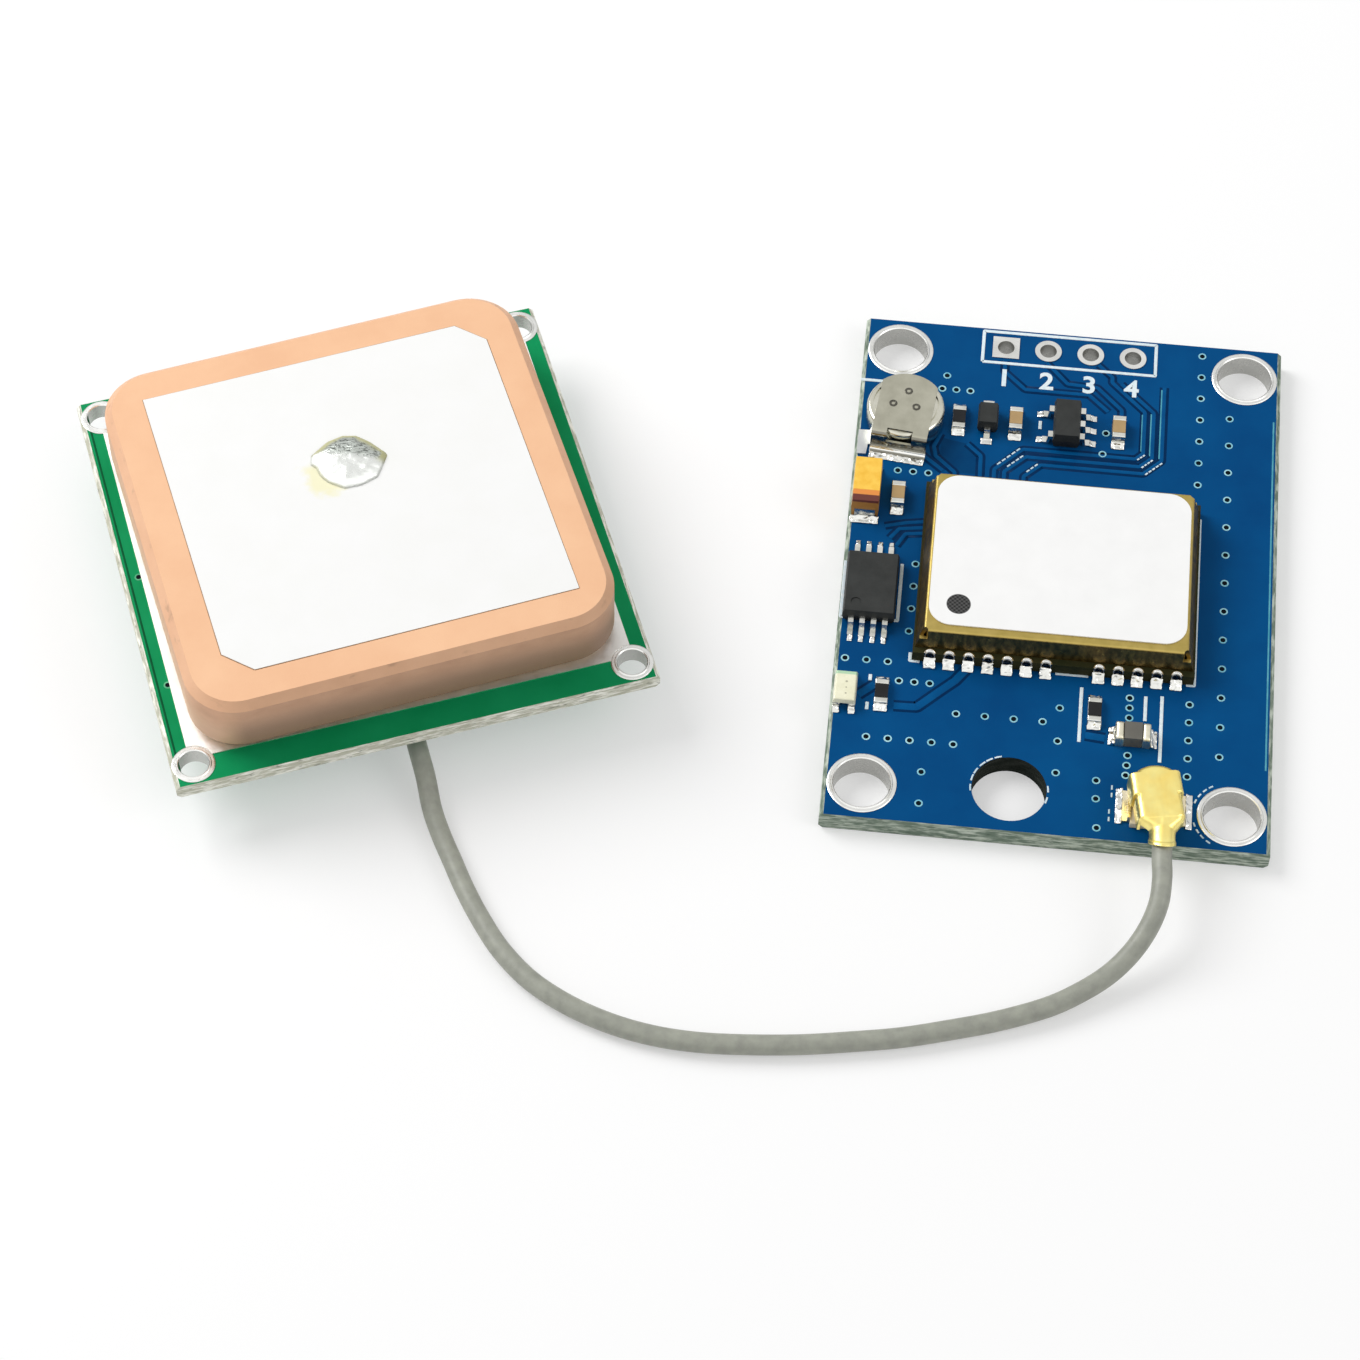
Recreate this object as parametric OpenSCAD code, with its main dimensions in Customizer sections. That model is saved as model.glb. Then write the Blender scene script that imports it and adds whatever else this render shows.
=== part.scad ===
// Satellite positioning receiver: a small circuit board with a shielded receiver module,
// joined by a thin coaxial cable to an active ceramic patch antenna that lies beside it.
// Millimetres, +Z up. The origin is the middle of the receiver board's underside, on z = 0.
// Front is -Y, where the cable plugs in, and rear is +Y, where the header holes are.

/* [Receiver board] */
// Width of the receiver board, left to right
board_w = 25.0; // [24.2:0.1:32]
// Length of the receiver board, front to rear
board_l = 35.6; // [32.2:0.1:42]
// Thickness of the receiver board
board_t = 1.4; // [0.8:0.1:2.0]
// Thickness of tinned copper and of hole plating
plating_t = 0.06; // [0.03:0.01:0.1]
// Height of the rolled lip round a plated hole, above its ring
eyelet_lip = 0.05; // [0.02:0.01:0.08]
// Width of the slope that parting the panel left along the boards' side edges
edge_slope = 0.24; // [0.05:0.01:0.25]
// Depth of that slope, above and below
edge_depth = 0.25; // [0.1:0.05:0.28]
// Bore of a mounting hole, inside its plating
mount_hole_d = 3.2; // [2.6:0.1:3.4]
// Outside diameter of a mounting hole's ring
mount_ring_d = 3.9; // [3.7:0.1:4.1]
// Distance from a side edge to a mounting hole's centre
mount_inset_x = 2.2; // [2.1:0.05:2.4]
// Distance from the front or rear edge to a mounting hole's centre
mount_inset_y = 2.25; // [2.1:0.05:2.6]
// Diameter of the unplated locating hole at the front
locating_hole_d = 4.2; // [3.0:0.1:4.6]
// Distance from the front edge to the locating hole's centre
locating_inset = 2.75; // [2.5:0.05:3.5]
// Place of the locating hole along the board's width
locating_x = -2.1; // [-3:0.1:-1]

/* [Header holes] */
// Number of header holes
header_count = 4; // [3:1:4]
// Spacing of the header holes
header_pitch = 2.54; // [2:0.01:2.54]
// Bore of a header hole, inside its plating
header_hole_d = 1.0; // [0.8:0.05:1.1]
// Width of a header pad
header_pad_d = 1.6; // [1.4:0.05:1.8]
// Distance from the rear edge to the row of header holes
header_inset = 1.4; // [1.2:0.05:1.8]
// Place of the header's middle along the board's width
header_x = -0.2; // [-0.6:0.1:0.6]

/* [Receiver module] */
// Width of the module's carrier board
carrier_w = 16.0; // [15:0.1:16.4]
// Length of the module's carrier board, front to rear
carrier_l = 12.2; // [11:0.1:13]
// Thickness of the carrier board
carrier_t = 0.8; // [0.6:0.05:1.0]
// Height of the module, carrier and shield together
module_h = 2.4; // [2.2:0.1:3.2]
// Place of the module's middle along the board's width
module_x = -0.1; // [-0.3:0.1:0.3]
// Place of the module's middle along the board's length
module_y = -0.85; // [-1.2:0.05:-0.4]
// Spacing of the edge contacts
contact_pitch = 1.1; // [1.0:0.05:1.15]
// Distance from the carrier's side edge to the first edge contact
contact_inset = 1.0; // [0.8:0.05:1.2]
// Radius of the half-round cut of an edge contact
contact_r = 0.3; // [0.2:0.05:0.35]
// Edge contacts in the left group of a side
contacts_left = 7; // [5:1:7]
// Edge contacts in the right group of a side
contacts_right = 5; // [3:1:5]
// Thickness of the shield's sheet
shield_t = 0.2; // [0.1:0.02:0.3]
// Step from the carrier's left and right edges to the foot of the shield
shield_step_x = 0.1; // [0.05:0.05:0.4]
// Step from the carrier's front and rear edges to the foot of the shield
shield_step_y = 0.4; // [0.35:0.05:0.6]
// Inward lean of the shield's left and right walls over their height
shield_lean_x = 0.4; // [0.1:0.05:0.6]
// Inward lean of the shield's front and rear walls over their height
shield_lean_y = 0.06; // [0.02:0.02:0.3]
// Outer bend radius along the shield's top edges
shield_bend = 0.16; // [0.14:0.01:0.4]
// Diameter of the relief at each top corner of the shield
shield_relief_d = 0.55; // [0.3:0.05:0.7]
// Thickness of the label on the shield
label_t = 0.08; // [0.04:0.02:0.12]
// Margin from the shield's flat top to the label, at the sides and the rear
label_margin = 0.02; // [0.02:0.02:0.3]
// Margin from the shield's flat top to the label, at the front
label_front = 0.35; // [0.1:0.05:1.2]
// Corner radius of the label
label_r = 1.3; // [0.4:0.1:2]

/* [Backup cell] */
// Diameter of the backup cell
cell_d = 4.6; // [4.2:0.1:4.8]
// Height of the backup cell
cell_h = 1.3; // [1.1:0.1:1.6]
// Thickness of the cell's tabs
tab_t = 0.15; // [0.1:0.01:0.2]
// Width of the upper tab
tab_w = 3.3; // [2.6:0.1:3.5]
// Length of the upper tab's foot on the board
tab_foot = 0.3; // [0.25:0.05:0.45]
// Gap between the cell's wall and the upper tab's leg
tab_gap = 0.1; // [0.05:0.05:0.2]
// Outer radius of the upper tab's bends
tab_bend = 0.3; // [0.25:0.05:0.4]
// Width of the slot through the upper tab's bend
tab_slot_w = 1.5; // [0.8:0.1:1.8]
// Turn of the cell and its upper tab about Z
cell_turn = -6; // [-10:1:0]
// Distance from the left edge to the cell's centre
cell_inset_x = 2.8; // [2.7:0.05:3.0]
// Distance from the rear edge to the cell's centre
cell_inset_y = 7.5; // [7.3:0.05:7.6]

/* [Chip parts] */
// Length of a small capacitor or resistor
chip_l = 1.6; // [1.4:0.05:1.8]
// Width of a small capacitor or resistor
chip_w = 0.8; // [0.6:0.05:0.95]
// Height of a small capacitor
capacitor_h = 0.8; // [0.5:0.05:1.0]
// Height of a resistor
resistor_h = 0.45; // [0.35:0.05:0.6]
// Length of the end cap of a small capacitor or resistor
chip_cap = 0.35; // [0.2:0.05:0.45]
// Round along the top edges of an end cap
cap_round = 0.08; // [0.04:0.01:0.1]
// How far an end cap stands proud of the body
cap_proud = 0.03; // [0.01:0.01:0.05]
// Thickness of the dark coat on a resistor
coat_t = 0.05; // [0.02:0.01:0.08]
// Length of the inductor
inductor_l = 2.0; // [1.8:0.05:2.1]
// Width of the inductor
inductor_w = 1.2; // [0.9:0.05:1.3]
// Height of the inductor
inductor_h = 0.9; // [0.7:0.05:1.2]
// Length of the inductor's end cap
inductor_cap = 0.5; // [0.3:0.05:0.6]
// Round along the top edges of the inductor's end cap
inductor_round = 0.2; // [0.1:0.01:0.24]
// Length of the indicator lamp
led_l = 2.1; // [1.8:0.05:2.2]
// Width of the indicator lamp
led_w = 1.3; // [1.0:0.05:1.35]
// Thickness of the indicator lamp's base
led_base_t = 0.5; // [0.4:0.05:0.6]
// Height of the indicator lamp's clear moulding above its base
led_lens_h = 0.3; // [0.25:0.05:0.4]
// Length of the indicator lamp's end contact
led_cap = 0.3; // [0.25:0.05:0.35]
// Radius of the half-round cut in the indicator lamp's end contact
led_notch_r = 0.22; // [0.1:0.02:0.24]
// Length of the tantalum capacitor
tantalum_l = 3.4; // [3.2:0.05:3.5]
// Width of the tantalum capacitor
tantalum_w = 1.6; // [1.4:0.05:1.7]
// Height of the tantalum capacitor
tantalum_h = 1.6; // [1.4:0.05:1.9]
// Width of the tantalum capacitor's terminal strip
tantalum_strip_w = 1.2; // [0.9:0.05:1.3]
// Thickness of the tantalum capacitor's terminal strip
tantalum_strip_t = 0.08; // [0.06:0.02:0.14]
// Slope of the tantalum capacitor's sides over half its height
tantalum_draft = 0.04; // [0.02:0.02:0.1]

/* [Moulded parts with leads] */
// Thickness of a lead
lead_t = 0.15; // [0.1:0.01:0.18]
// Clearance under a moulded body
body_lift = 0.08; // [0.04:0.02:0.12]
// Slope of a moulded body's sides over half its height
body_draft = 0.1; // [0.04:0.02:0.14]
// Width of the memory chip's body, along its rows of leads
memory_w = 3.0; // [2.8:0.05:3.1]
// Length of the memory chip's body, between its rows of leads
memory_l = 4.4; // [4.2:0.05:4.6]
// Height of the memory chip's body
memory_h = 0.95; // [0.8:0.05:1.1]
// Spacing of the memory chip's leads
memory_pitch = 0.65; // [0.55:0.01:0.7]
// Width of a memory chip lead
memory_lead_w = 0.3; // [0.2:0.01:0.34]
// Reach of a memory chip lead past the body
memory_reach = 1.0; // [0.8:0.05:1.1]
// Width of the regulator's body
regulator_w = 1.6; // [1.5:0.05:1.7]
// Length of the regulator's body, along its rows of leads
regulator_l = 2.9; // [2.7:0.05:3.0]
// Height of the regulator's body
regulator_h = 1.1; // [0.9:0.05:1.2]
// Spacing of the regulator's leads
regulator_pitch = 0.95; // [0.85:0.01:1.0]
// Width of a regulator lead
regulator_lead_w = 0.42; // [0.3:0.02:0.5]
// Reach of a regulator lead past the body
regulator_reach = 0.6; // [0.5:0.05:0.7]
// Width of the diode's body
diode_w = 1.2; // [1.0:0.05:1.3]
// Length of the diode's body
diode_l = 1.65; // [1.4:0.05:1.8]
// Height of the diode's body
diode_h = 0.95; // [0.8:0.05:1.1]
// Width of a diode lead
diode_lead_w = 0.35; // [0.25:0.05:0.5]
// Reach of a diode lead past the body
diode_reach = 0.45; // [0.4:0.05:0.5]

/* [Places of the parts on the board] */
// Distance from the rear edge to the rear row of parts
rear_row_inset = 7.2; // [7.0:0.05:7.6]
// Place of the charging resistor along the board's width
charge_resistor_x = -6.5; // [-6.6:0.05:-6.4]
// Place of the diode along the board's width
diode_x = -4.8; // [-4.9:0.05:-4.7]
// Place of the input capacitor along the board's width
input_capacitor_x = -3.15; // [-3.2:0.05:-3.0]
// Place of the regulator along the board's width
regulator_x = -0.13; // [-0.3:0.01:0.2]
// Place of the output capacitor along the board's width
output_capacitor_x = 2.95; // [2.8:0.05:3.4]
// Distance from the left edge to the tantalum capacitor's middle
tantalum_inset = 0.95; // [0.9:0.05:1.0]
// Share of the left column's free length that lies behind the tantalum capacitor
tantalum_gap_share = 0.13; // [0.08:0.01:0.2]
// Distance from the left edge to the bypass capacitor's middle
bypass_inset = 2.8; // [2.6:0.05:3.0]
// Step of the bypass capacitor forward of the tantalum capacitor
bypass_step = 0.1; // [0:0.05:0.4]
// Distance from the left edge to the memory chip's middle
memory_inset = 1.72; // [1.65:0.01:1.9]
// Share of the left column's free length that lies behind the memory chip
memory_gap_share = 0.32; // [0.2:0.01:0.4]
// Distance from the left edge to the indicator lamp's middle
led_inset_x = 0.8; // [0.7:0.05:0.9]
// Distance from the front edge to the indicator lamp's middle
led_inset_y = 8.2; // [8.0:0.05:8.4]
// Distance from the left edge to the lamp resistor's middle
lamp_resistor_inset = 2.85; // [2.6:0.05:3.2]
// Step of the lamp resistor to the rear of the indicator lamp
lamp_resistor_step = 0.1; // [0:0.05:0.3]
// Distance from the module's front edge to the middle of the bias resistor
bias_drop = 2.5; // [2.4:0.05:2.6]
// Place of the bias resistor along the board's width
bias_x = 2.4; // [2.2:0.05:2.5]
// Distance from the module's front edge to the middle of the inductor
inductor_drop = 4.0; // [3.8:0.05:4.2]
// Place of the inductor along the board's width
inductor_x = 4.6; // [4.5:0.05:4.9]

/* [Solder] */
// Length of a solder fillet away from a part
solder_run = 0.4; // [0.2:0.05:0.45]
// Height of a solder fillet against a chip part
solder_rise = 0.32; // [0.15:0.01:0.35]
// Thickness of a solder fillet at its toe
solder_toe = 0.06; // [0.03:0.01:0.1]
// Width of a solder fillet at an edge contact
contact_solder_w = 0.7; // [0.4:0.05:0.8]
// Height of a solder fillet at an edge contact
contact_solder_rise = 0.5; // [0.3:0.05:0.55]
// Length of a solder fillet away from an edge contact
contact_solder_run = 0.55; // [0.3:0.05:0.6]

/* [Coaxial connector] */
// Place of the connector along the board's width
socket_x = 5.95; // [5.8:0.05:6.1]
// Distance from the front edge to the connector's centre
socket_inset = 2.25; // [2.1:0.05:2.4]
// Width of the socket's square base
socket_base_w = 2.6; // [2.4:0.05:2.7]
// Thickness of the socket's base
socket_base_t = 0.4; // [0.3:0.05:0.45]
// Outside diameter of the socket's ring
socket_ring_d = 2.0; // [1.9:0.05:2.1]
// Height of the socket's ring above the board
socket_ring_h = 1.3; // [1.2:0.05:1.4]
// Wall of the socket's ring
socket_wall = 0.15; // [0.1:0.01:0.2]
// Diameter of the socket's centre pin
socket_pin_d = 0.5; // [0.4:0.02:0.6]
// Reach of the socket's lugs past its base
socket_lug = 0.45; // [0.3:0.05:0.6]
// Width of a ground lug
ground_lug_w = 2.0; // [1.6:0.05:2.2]
// Turn of the plug on its socket, about Z
plug_turn = 10; // [8:1:12]
// Width of the plug over its rear pair of folded sides
plug_w = 2.9; // [2.85:0.05:3.1]
// Width of the plug over its front pair of folded sides
plug_front_w = 2.6; // [2.55:0.05:2.8]
// Height of the mated plug above the board
plug_h = 2.3; // [2.2:0.05:2.5]
// Thickness of the plug's sheet
plug_t = 0.2; // [0.15:0.01:0.22]
// Outer bend radius of the plug's sheet
plug_bend = 0.4; // [0.3:0.05:0.5]
// Radial clearance between the plug's ring and the socket's ring
plug_clear = 0.03; // [0.02:0.01:0.06]
// Distance from the socket's centre to the rear end of the plug's folded sides
plug_side_start = 1.1; // [1.0:0.05:1.25]
// Length of the plug's rear pair of folded sides
plug_side_a = 1.4; // [1.2:0.05:1.45]
// Length of the plug's front pair of folded sides
plug_side_b = 1.4; // [1.2:0.05:1.45]
// Slit between the two pairs of folded sides
plug_slit = 0.12; // [0.08:0.02:0.2]
// Length of the crimp, from the plug's neck to its end
crimp_l = 1.86; // [1.8:0.01:1.9]
// Turn of the crimp on the plug, pulled aside by the cable
crimp_turn = -9; // [-9.4:0.1:-8.6]
// Slant of the crimp's end, which is longest on top
crimp_slant = 38; // [20:1:42]
// Outside diameter of the crimp
crimp_d = 1.45; // [1.35:0.05:1.5]
// Outside diameter of the lip at the crimp's end
crimp_lip_d = 1.54; // [1.5:0.02:1.6]
// Length of the lip at the crimp's end
crimp_lip_l = 0.2; // [0.1:0.05:0.3]

/* [Antenna] */
// Place of the antenna's centre, left of the receiver board's centre
antenna_x = -40.0; // [-41:0.1:-39.9]
// Place of the antenna's centre along the receiver board's length
antenna_y = -3.7; // [-3.7:0.1:-3.5]
// Turn of the antenna's board about Z
antenna_turn = 22; // [21.8:0.1:22.2]
// Margin of the antenna's board round the ceramic
antenna_margin = 1.55; // [1.3:0.05:2]
// Thickness of the antenna's board
antenna_board_t = 1.0; // [0.6:0.1:1.6]
// Distance from the antenna board's edge to a corner hole's centre
antenna_hole_inset = 1.27; // [1.25:0.01:1.4]
// Bore of a corner hole, inside its plating
antenna_hole_d = 1.7; // [1.4:0.05:1.8]
// Outside diameter of a corner hole's ring
antenna_ring_d = 2.4; // [2.2:0.05:2.45]
// Width of the bare tinned strip that shows at the ceramic's left and right
ground_margin = 0.45; // [0.1:0.05:0.6]
// How far the bare tinned area ends inside the ceramic's front and rear
ground_tuck = 0.1; // [0.05:0.05:0.6]
// Thickness of the adhesive pad under the ceramic
adhesive_t = 0.2; // [0.1:0.05:0.5]
// Margin from the ceramic's edge to the adhesive pad
adhesive_margin = 1.75; // [1:0.05:3]
// Side of the ceramic patch
ceramic_w = 24.5; // [22:0.1:27]
// Thickness of the ceramic patch
ceramic_t = 4.0; // [3:0.1:5]
// Corner radius of the ceramic patch
ceramic_r = 3.0; // [1.5:0.1:3.5]
// Bevel along the ceramic's top and bottom edges
ceramic_bevel = 0.45; // [0.2:0.05:0.8]
// Offset of the ceramic on its board, along its width
ceramic_x = -0.12; // [-0.3:0.02:0.3]
// Turn of the ceramic on its board, about Z
ceramic_skew = 1.5; // [0:0.1:2]
// Side of the electrode
electrode_w = 20.0; // [17:0.1:22]
// Offset of the electrode and feed on the ceramic, along its width
electrode_x = 0.12; // [-0.3:0.02:0.3]
// Thickness of the electrode
electrode_t = 0.04; // [0.02:0.01:0.08]
// Leg of the electrode's two tuning chamfers
electrode_cut = 1.5; // [0.5:0.1:3]
// Distance from the electrode's centre to the feed pin
feed_y = 2.4; // [1.5:0.1:3.5]
// Diameter of the feed pin
feed_d = 0.9; // [0.7:0.05:1.2]
// Diameter of the feed pin's head
feed_head_d = 1.8; // [1.4:0.1:2.2]
// Thickness of the feed pin's head
feed_head_t = 0.2; // [0.1:0.05:0.25]
// Clearance round the feed pin
feed_clear = 0.1; // [0.05:0.05:0.2]
// Diameter of the solder cap over the feed pin
feed_solder_d = 4.0; // [3.2:0.1:4.4]
// Height of the solder cap over the feed pin
feed_solder_h = 0.55; // [0.4:0.05:0.8]

/* [Antenna amplifier] */
// Height of the shield can under the antenna's board
can_h = 3.0; // [2.8:0.1:3.2]
// Width of the shield can
can_w = 21.0; // [16:0.5:22]
// Length of the shield can, along the cable
can_l = 20.0; // [19.4:0.1:20.6]
// Sheet thickness of the shield can
can_t = 0.25; // [0.15:0.05:0.4]
// Corner radius of the shield can
can_r = 1.0; // [0.5:0.1:2]
// Clearance round the cable in the can's notch
notch_clear = 0.3; // [0.2:0.05:0.5]
// Width of the amplifier's body
amplifier_w = 1.25; // [1.1:0.05:1.4]
// Length of the amplifier's body, along its rows of leads
amplifier_l = 2.0; // [1.9:0.05:2.2]
// Height of the amplifier's body
amplifier_h = 0.9; // [0.7:0.05:1.0]
// Spacing of the amplifier's leads
amplifier_pitch = 0.65; // [0.55:0.01:0.68]
// Side of the antenna's square filter
filter_w = 3.0; // [2:0.1:3.8]
// Height of the antenna's filter
filter_h = 1.1; // [0.8:0.1:1.4]

/* [Cable] */
// Outside diameter of the coaxial cable
cable_d = 1.13; // [0.8:0.01:1.13]

/* [Hidden] */
$fn = 48;
// Overlap of a cutting tool past the face that it cuts
cut = 0.5;
// Points along a bend's quarter circle
bend_steps = 6;

// Edges of the receiver board and the points that hang on them
left_edge = -board_w / 2;
rear_edge = board_l / 2;
front_edge = -board_l / 2;
mount_points = [
  for (sx = [-1, 1], sy = [-1, 1])
    [sx * (board_w / 2 - mount_inset_x), sy * (board_l / 2 - mount_inset_y)]
];
header_points = [
  for (i = [0:header_count - 1])
    [header_x + (i - (header_count - 1) / 2) * header_pitch, rear_edge - header_inset]
];
locating_point = [locating_x, front_edge + locating_inset];
rear_row_y = rear_edge - rear_row_inset;
charge_resistor_at = [charge_resistor_x, rear_row_y];
diode_at = [diode_x, rear_row_y];
input_capacitor_at = [input_capacitor_x, rear_row_y];
regulator_at = [regulator_x, rear_row_y];
output_capacitor_at = [output_capacitor_x, rear_row_y];
cell_at = [left_edge + cell_inset_x, rear_edge - cell_inset_y];
led_at = [left_edge + led_inset_x, front_edge + led_inset_y];
lamp_resistor_at = [left_edge + lamp_resistor_inset, led_at[1] + lamp_resistor_step];
module_at = [module_x, module_y];
module_front = module_y - carrier_l / 2;
bias_at = [bias_x, module_front - bias_drop];
inductor_at = [inductor_x, module_front - inductor_drop];
socket_at = [socket_x, front_edge + socket_inset];

// Column of parts at the left edge, from the cell's foot forward to the indicator lamp
tab_leg_y = cell_d / 2 + tab_gap;
column_rear = cell_at[1] - tab_leg_y - tab_t - tab_foot - solder_run;
column_front = led_at[1] + led_l / 2 + solder_run;
tantalum_run = tantalum_l + 2 * solder_run;
memory_run = memory_l + 2 * (memory_reach + solder_run);
column_free = column_rear - column_front - tantalum_run - memory_run;
tantalum_y = column_rear - tantalum_gap_share * column_free - tantalum_run / 2;
memory_y = tantalum_y - tantalum_run / 2 - memory_gap_share * column_free - memory_run / 2;
tantalum_at = [left_edge + tantalum_inset, tantalum_y];
bypass_at = [left_edge + bypass_inset, tantalum_y - bypass_step];
memory_at = [left_edge + memory_inset, memory_y];
capacitor_points = [input_capacitor_at, output_capacitor_at, bypass_at];
resistor_points = [charge_resistor_at, lamp_resistor_at, bias_at];

// Receiver module
shield_h = module_h - carrier_t;
shield_w = carrier_w - 2 * shield_step_x;
shield_l = carrier_l - 2 * shield_step_y;
shield_top_w = shield_w - 2 * shield_lean_x;
shield_top_l = shield_l - 2 * shield_lean_y;
label_w = shield_top_w - 2 * (shield_bend + label_margin);
label_l = shield_top_l - 2 * shield_bend - label_margin - label_front;
label_y = (label_front - label_margin) / 2;
contact_offsets = concat(
  [for (i = [0:contacts_left - 1]) contact_inset + i * contact_pitch - carrier_w / 2],
  [for (i = [0:contacts_right - 1]) carrier_w / 2 - contact_inset - i * contact_pitch]
);
// Chips under the shield, as [width, length, height] and their places on the carrier
receiver_chip_size = [5, 5, 0.6];
receiver_chip_at = [-2.2, -0.6];
crystal_size = [2.5, 2.0, 0.8];
crystal_at = [3.6, 2.6];
band_filter_size = [1.4, 1.1, 0.5];
band_filter_at = [3.8, -1.8];
crystal_lid_t = 0.15;
crystal_lid_step = 0.15;

// Backup cell and its tabs
cell_lip = 0.35;
cell_groove = 0.12;
cell_edge_r = 0.25;
tab_top_z = tab_t + cell_h;
tab_bend_in = tab_bend - tab_t;
tab_slot_drop = 0.55;
tab_slot_in = 0.35;
lower_tab_w = 0.95;
lower_tab_disc_d = 3.2;
lower_tab_edge = 0.15;
lower_tab_reach = 2.9;
// How far forward of the cell's centre the lower tab's strip leaves it
lower_tab_drop = 1.6;
// Gap kept between the lower tab's strip and the upper tab's foot
lower_tab_turn_in = 1.2;

// Knee of a solder fillet, as shares of its run and rise
fillet_knee = [0.4, 0.6];
// Width of each of the two lobes of solder at an end of the indicator lamp
led_lobe_w = 0.42;

// Moulded bodies and their leads
// Places of a lead's knee and heel, as shares of its reach
lead_knee_share = 0.46;
lead_heel_share = 0.6;
memory_rows = 4;
dimple_inset = 0.72;
dimple_r = 0.3;
dimple_depth = 0.05;
regulator_rows = 3;
amplifier_rows = 3;
amplifier_lead_w = 0.25;
amplifier_reach = 0.45;
amplifier_at = [-3.0, 4.0];
filter_at = [3.0, 4.0];
filter_lid_step = 0.25;
filter_lid_t = 0.15;

// Coaxial connector
socket_pin_drop = 0.1;
socket_pin_h = socket_ring_h - socket_pin_drop;
signal_lug_w = 0.6;
ring_bridge_w = 0.6;
lug_solder_w = 2.3;
// Gaps from the socket's base to the plug's ring, skirt and contact
plug_ring_gap = 0.3;
plug_skirt_gap = 0.5;
contact_gap = 0.15;
plug_ring_r = socket_ring_d / 2 + plug_clear;
plug_ring_base = socket_base_t + plug_ring_gap;
plug_skirt_base = socket_base_t + plug_skirt_gap;
contact_base = socket_base_t + contact_gap;
contact_d = 0.9;
contact_clear = 0.02;
// Room over the plug's insulator for the bends of the folded sides
insulator_drop = 0.05;
plug_cap_proud = 0.18;
plug_cap_r = plug_w / 2 + plug_cap_proud;
plug_flat_w = plug_w - 2 * plug_bend;
plug_slit_y = plug_side_start - plug_side_a;
plug_shoulder_y = plug_slit_y - plug_slit - plug_side_b;
// Shoulder that flows from the front folded sides into the crimp, in slices that keep inside both
shoulder_l = 0.82;
shoulder_in = 0.05;
shoulder_skin = 0.03;
shoulder_slices = 8;
neck_at = [0.05, -2.0];
crimp_drop = 0.02;
crimp_root = 0.4;
crimp_bore_l = 1.25;
crimp_bore_clear = 0.03;
cable_axis_h = plug_h - crimp_d / 2 - crimp_drop;

// Antenna stack, from the table up
antenna_board_w = ceramic_w + 2 * antenna_margin;
ground_w = ceramic_w + 2 * ground_margin;
ground_l = ceramic_w - 2 * ground_tuck;
adhesive_w = ceramic_w - 2 * adhesive_margin;
antenna_board_z = can_h;
antenna_top_z = can_h + antenna_board_t;
adhesive_z = antenna_top_z + plating_t;
ceramic_z = adhesive_z + adhesive_t;
electrode_z = ceramic_z + ceramic_t;
feed_head_z = electrode_z + electrode_t;
feed_tail = 0.6;
antenna_points = [
  for (sx = [-1, 1], sy = [-1, 1])
    [sx, sy] * (antenna_board_w / 2 - antenna_hole_inset)
];
// Solder joint of the cable under the antenna's board
joint_l = 1.6;
joint_d = 1.6;
joint_inset = 1.5;
joint_face_y = -can_l / 2 + joint_inset;
joint_axis_z = 2.2;

// Route of the cable's centre line, from the antenna's solder joint to the plug's crimp
cable_route = [
  [-36.8, -11.6, 2.2], [-36.0, -13.6, 2.15], [-35.3, -15.7, 1.8], [-34.5, -17.7, 1.3],
  [-33.9, -19.5, 0.85], [-33.2, -21.0, 0.62], [-32.4, -22.5, 0.57], [-31.5, -24.2, 0.57],
  [-30.4, -26.0, 0.57], [-29.0, -27.9, 0.57], [-27.2, -29.6, 0.57], [-25.0, -30.9, 0.57],
  [-22.6, -31.8, 0.57], [-20.2, -32.3, 0.57], [-17.7, -32.45, 0.57], [-15.0, -32.3, 0.57],
  [-12.3, -32.0, 0.57], [-9.7, -31.55, 0.57], [-7.0, -31.0, 0.57], [-4.4, -30.25, 0.57],
  [-1.8, -29.4, 0.58], [0.8, -28.3, 0.65], [2.6, -27.2, 0.8], [4.0, -26.1, 1.05],
  [5.1, -24.9, 1.5], [5.9, -23.6, 2.05], [6.35, -22.3, 2.6], [6.45, -20.9, 2.9],
  [6.385, -19.7, 2.955], [6.358, -18.15, 2.955]
];
cable_sides = 8;

// Outline helpers

// Rectangle with round corners, centred
module round_rect(w, l, r) {
  square([w - 2 * r, l], center = true);
  square([w, l - 2 * r], center = true);
  for (sx = [-1, 1], sy = [-1, 1])
    translate([sx * (w / 2 - r), sy * (l / 2 - r)]) circle(r = r);
}

// Quarter circle of radius r that turns from an upright side at x into a top at z
function quarter_bend(x, z, r) = [
  for (i = [0:bend_steps])
    [x - r + r * cos(90 * i / bend_steps), z - r + r * sin(90 * i / bend_steps)]
];

// Upright section that narrows from a foot to a top with round upper corners
function bent_section(foot, top, h, r) =
  let (corner = quarter_bend(top / 2, h, r))
  concat(
    [[-foot / 2, 0], [foot / 2, 0]],
    corner,
    [for (i = [bend_steps:-1:0]) [-corner[i][0], corner[i][1]]]
  );

// Section of a moulded body: draft above and below a parting band
function parting_section(w, h, draft) = [
  [-w / 2 + draft, 0], [w / 2 - draft, 0], [w / 2, h / 2 - lead_t / 2], [w / 2, h / 2 + lead_t / 2],
  [w / 2 - draft, h], [-w / 2 + draft, h], [-w / 2, h / 2 + lead_t / 2], [-w / 2, h / 2 - lead_t / 2]
];

// Solid helpers

// Block centred in plan, standing on z = 0
module slab(size) {
  translate([-size[0] / 2, -size[1] / 2, 0]) cube(size);
}

// Extrudes an upright outline along Y, centred
module along_y(l) {
  translate([0, l / 2, 0]) rotate([90, 0, 0]) linear_extrude(l) children();
}

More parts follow.
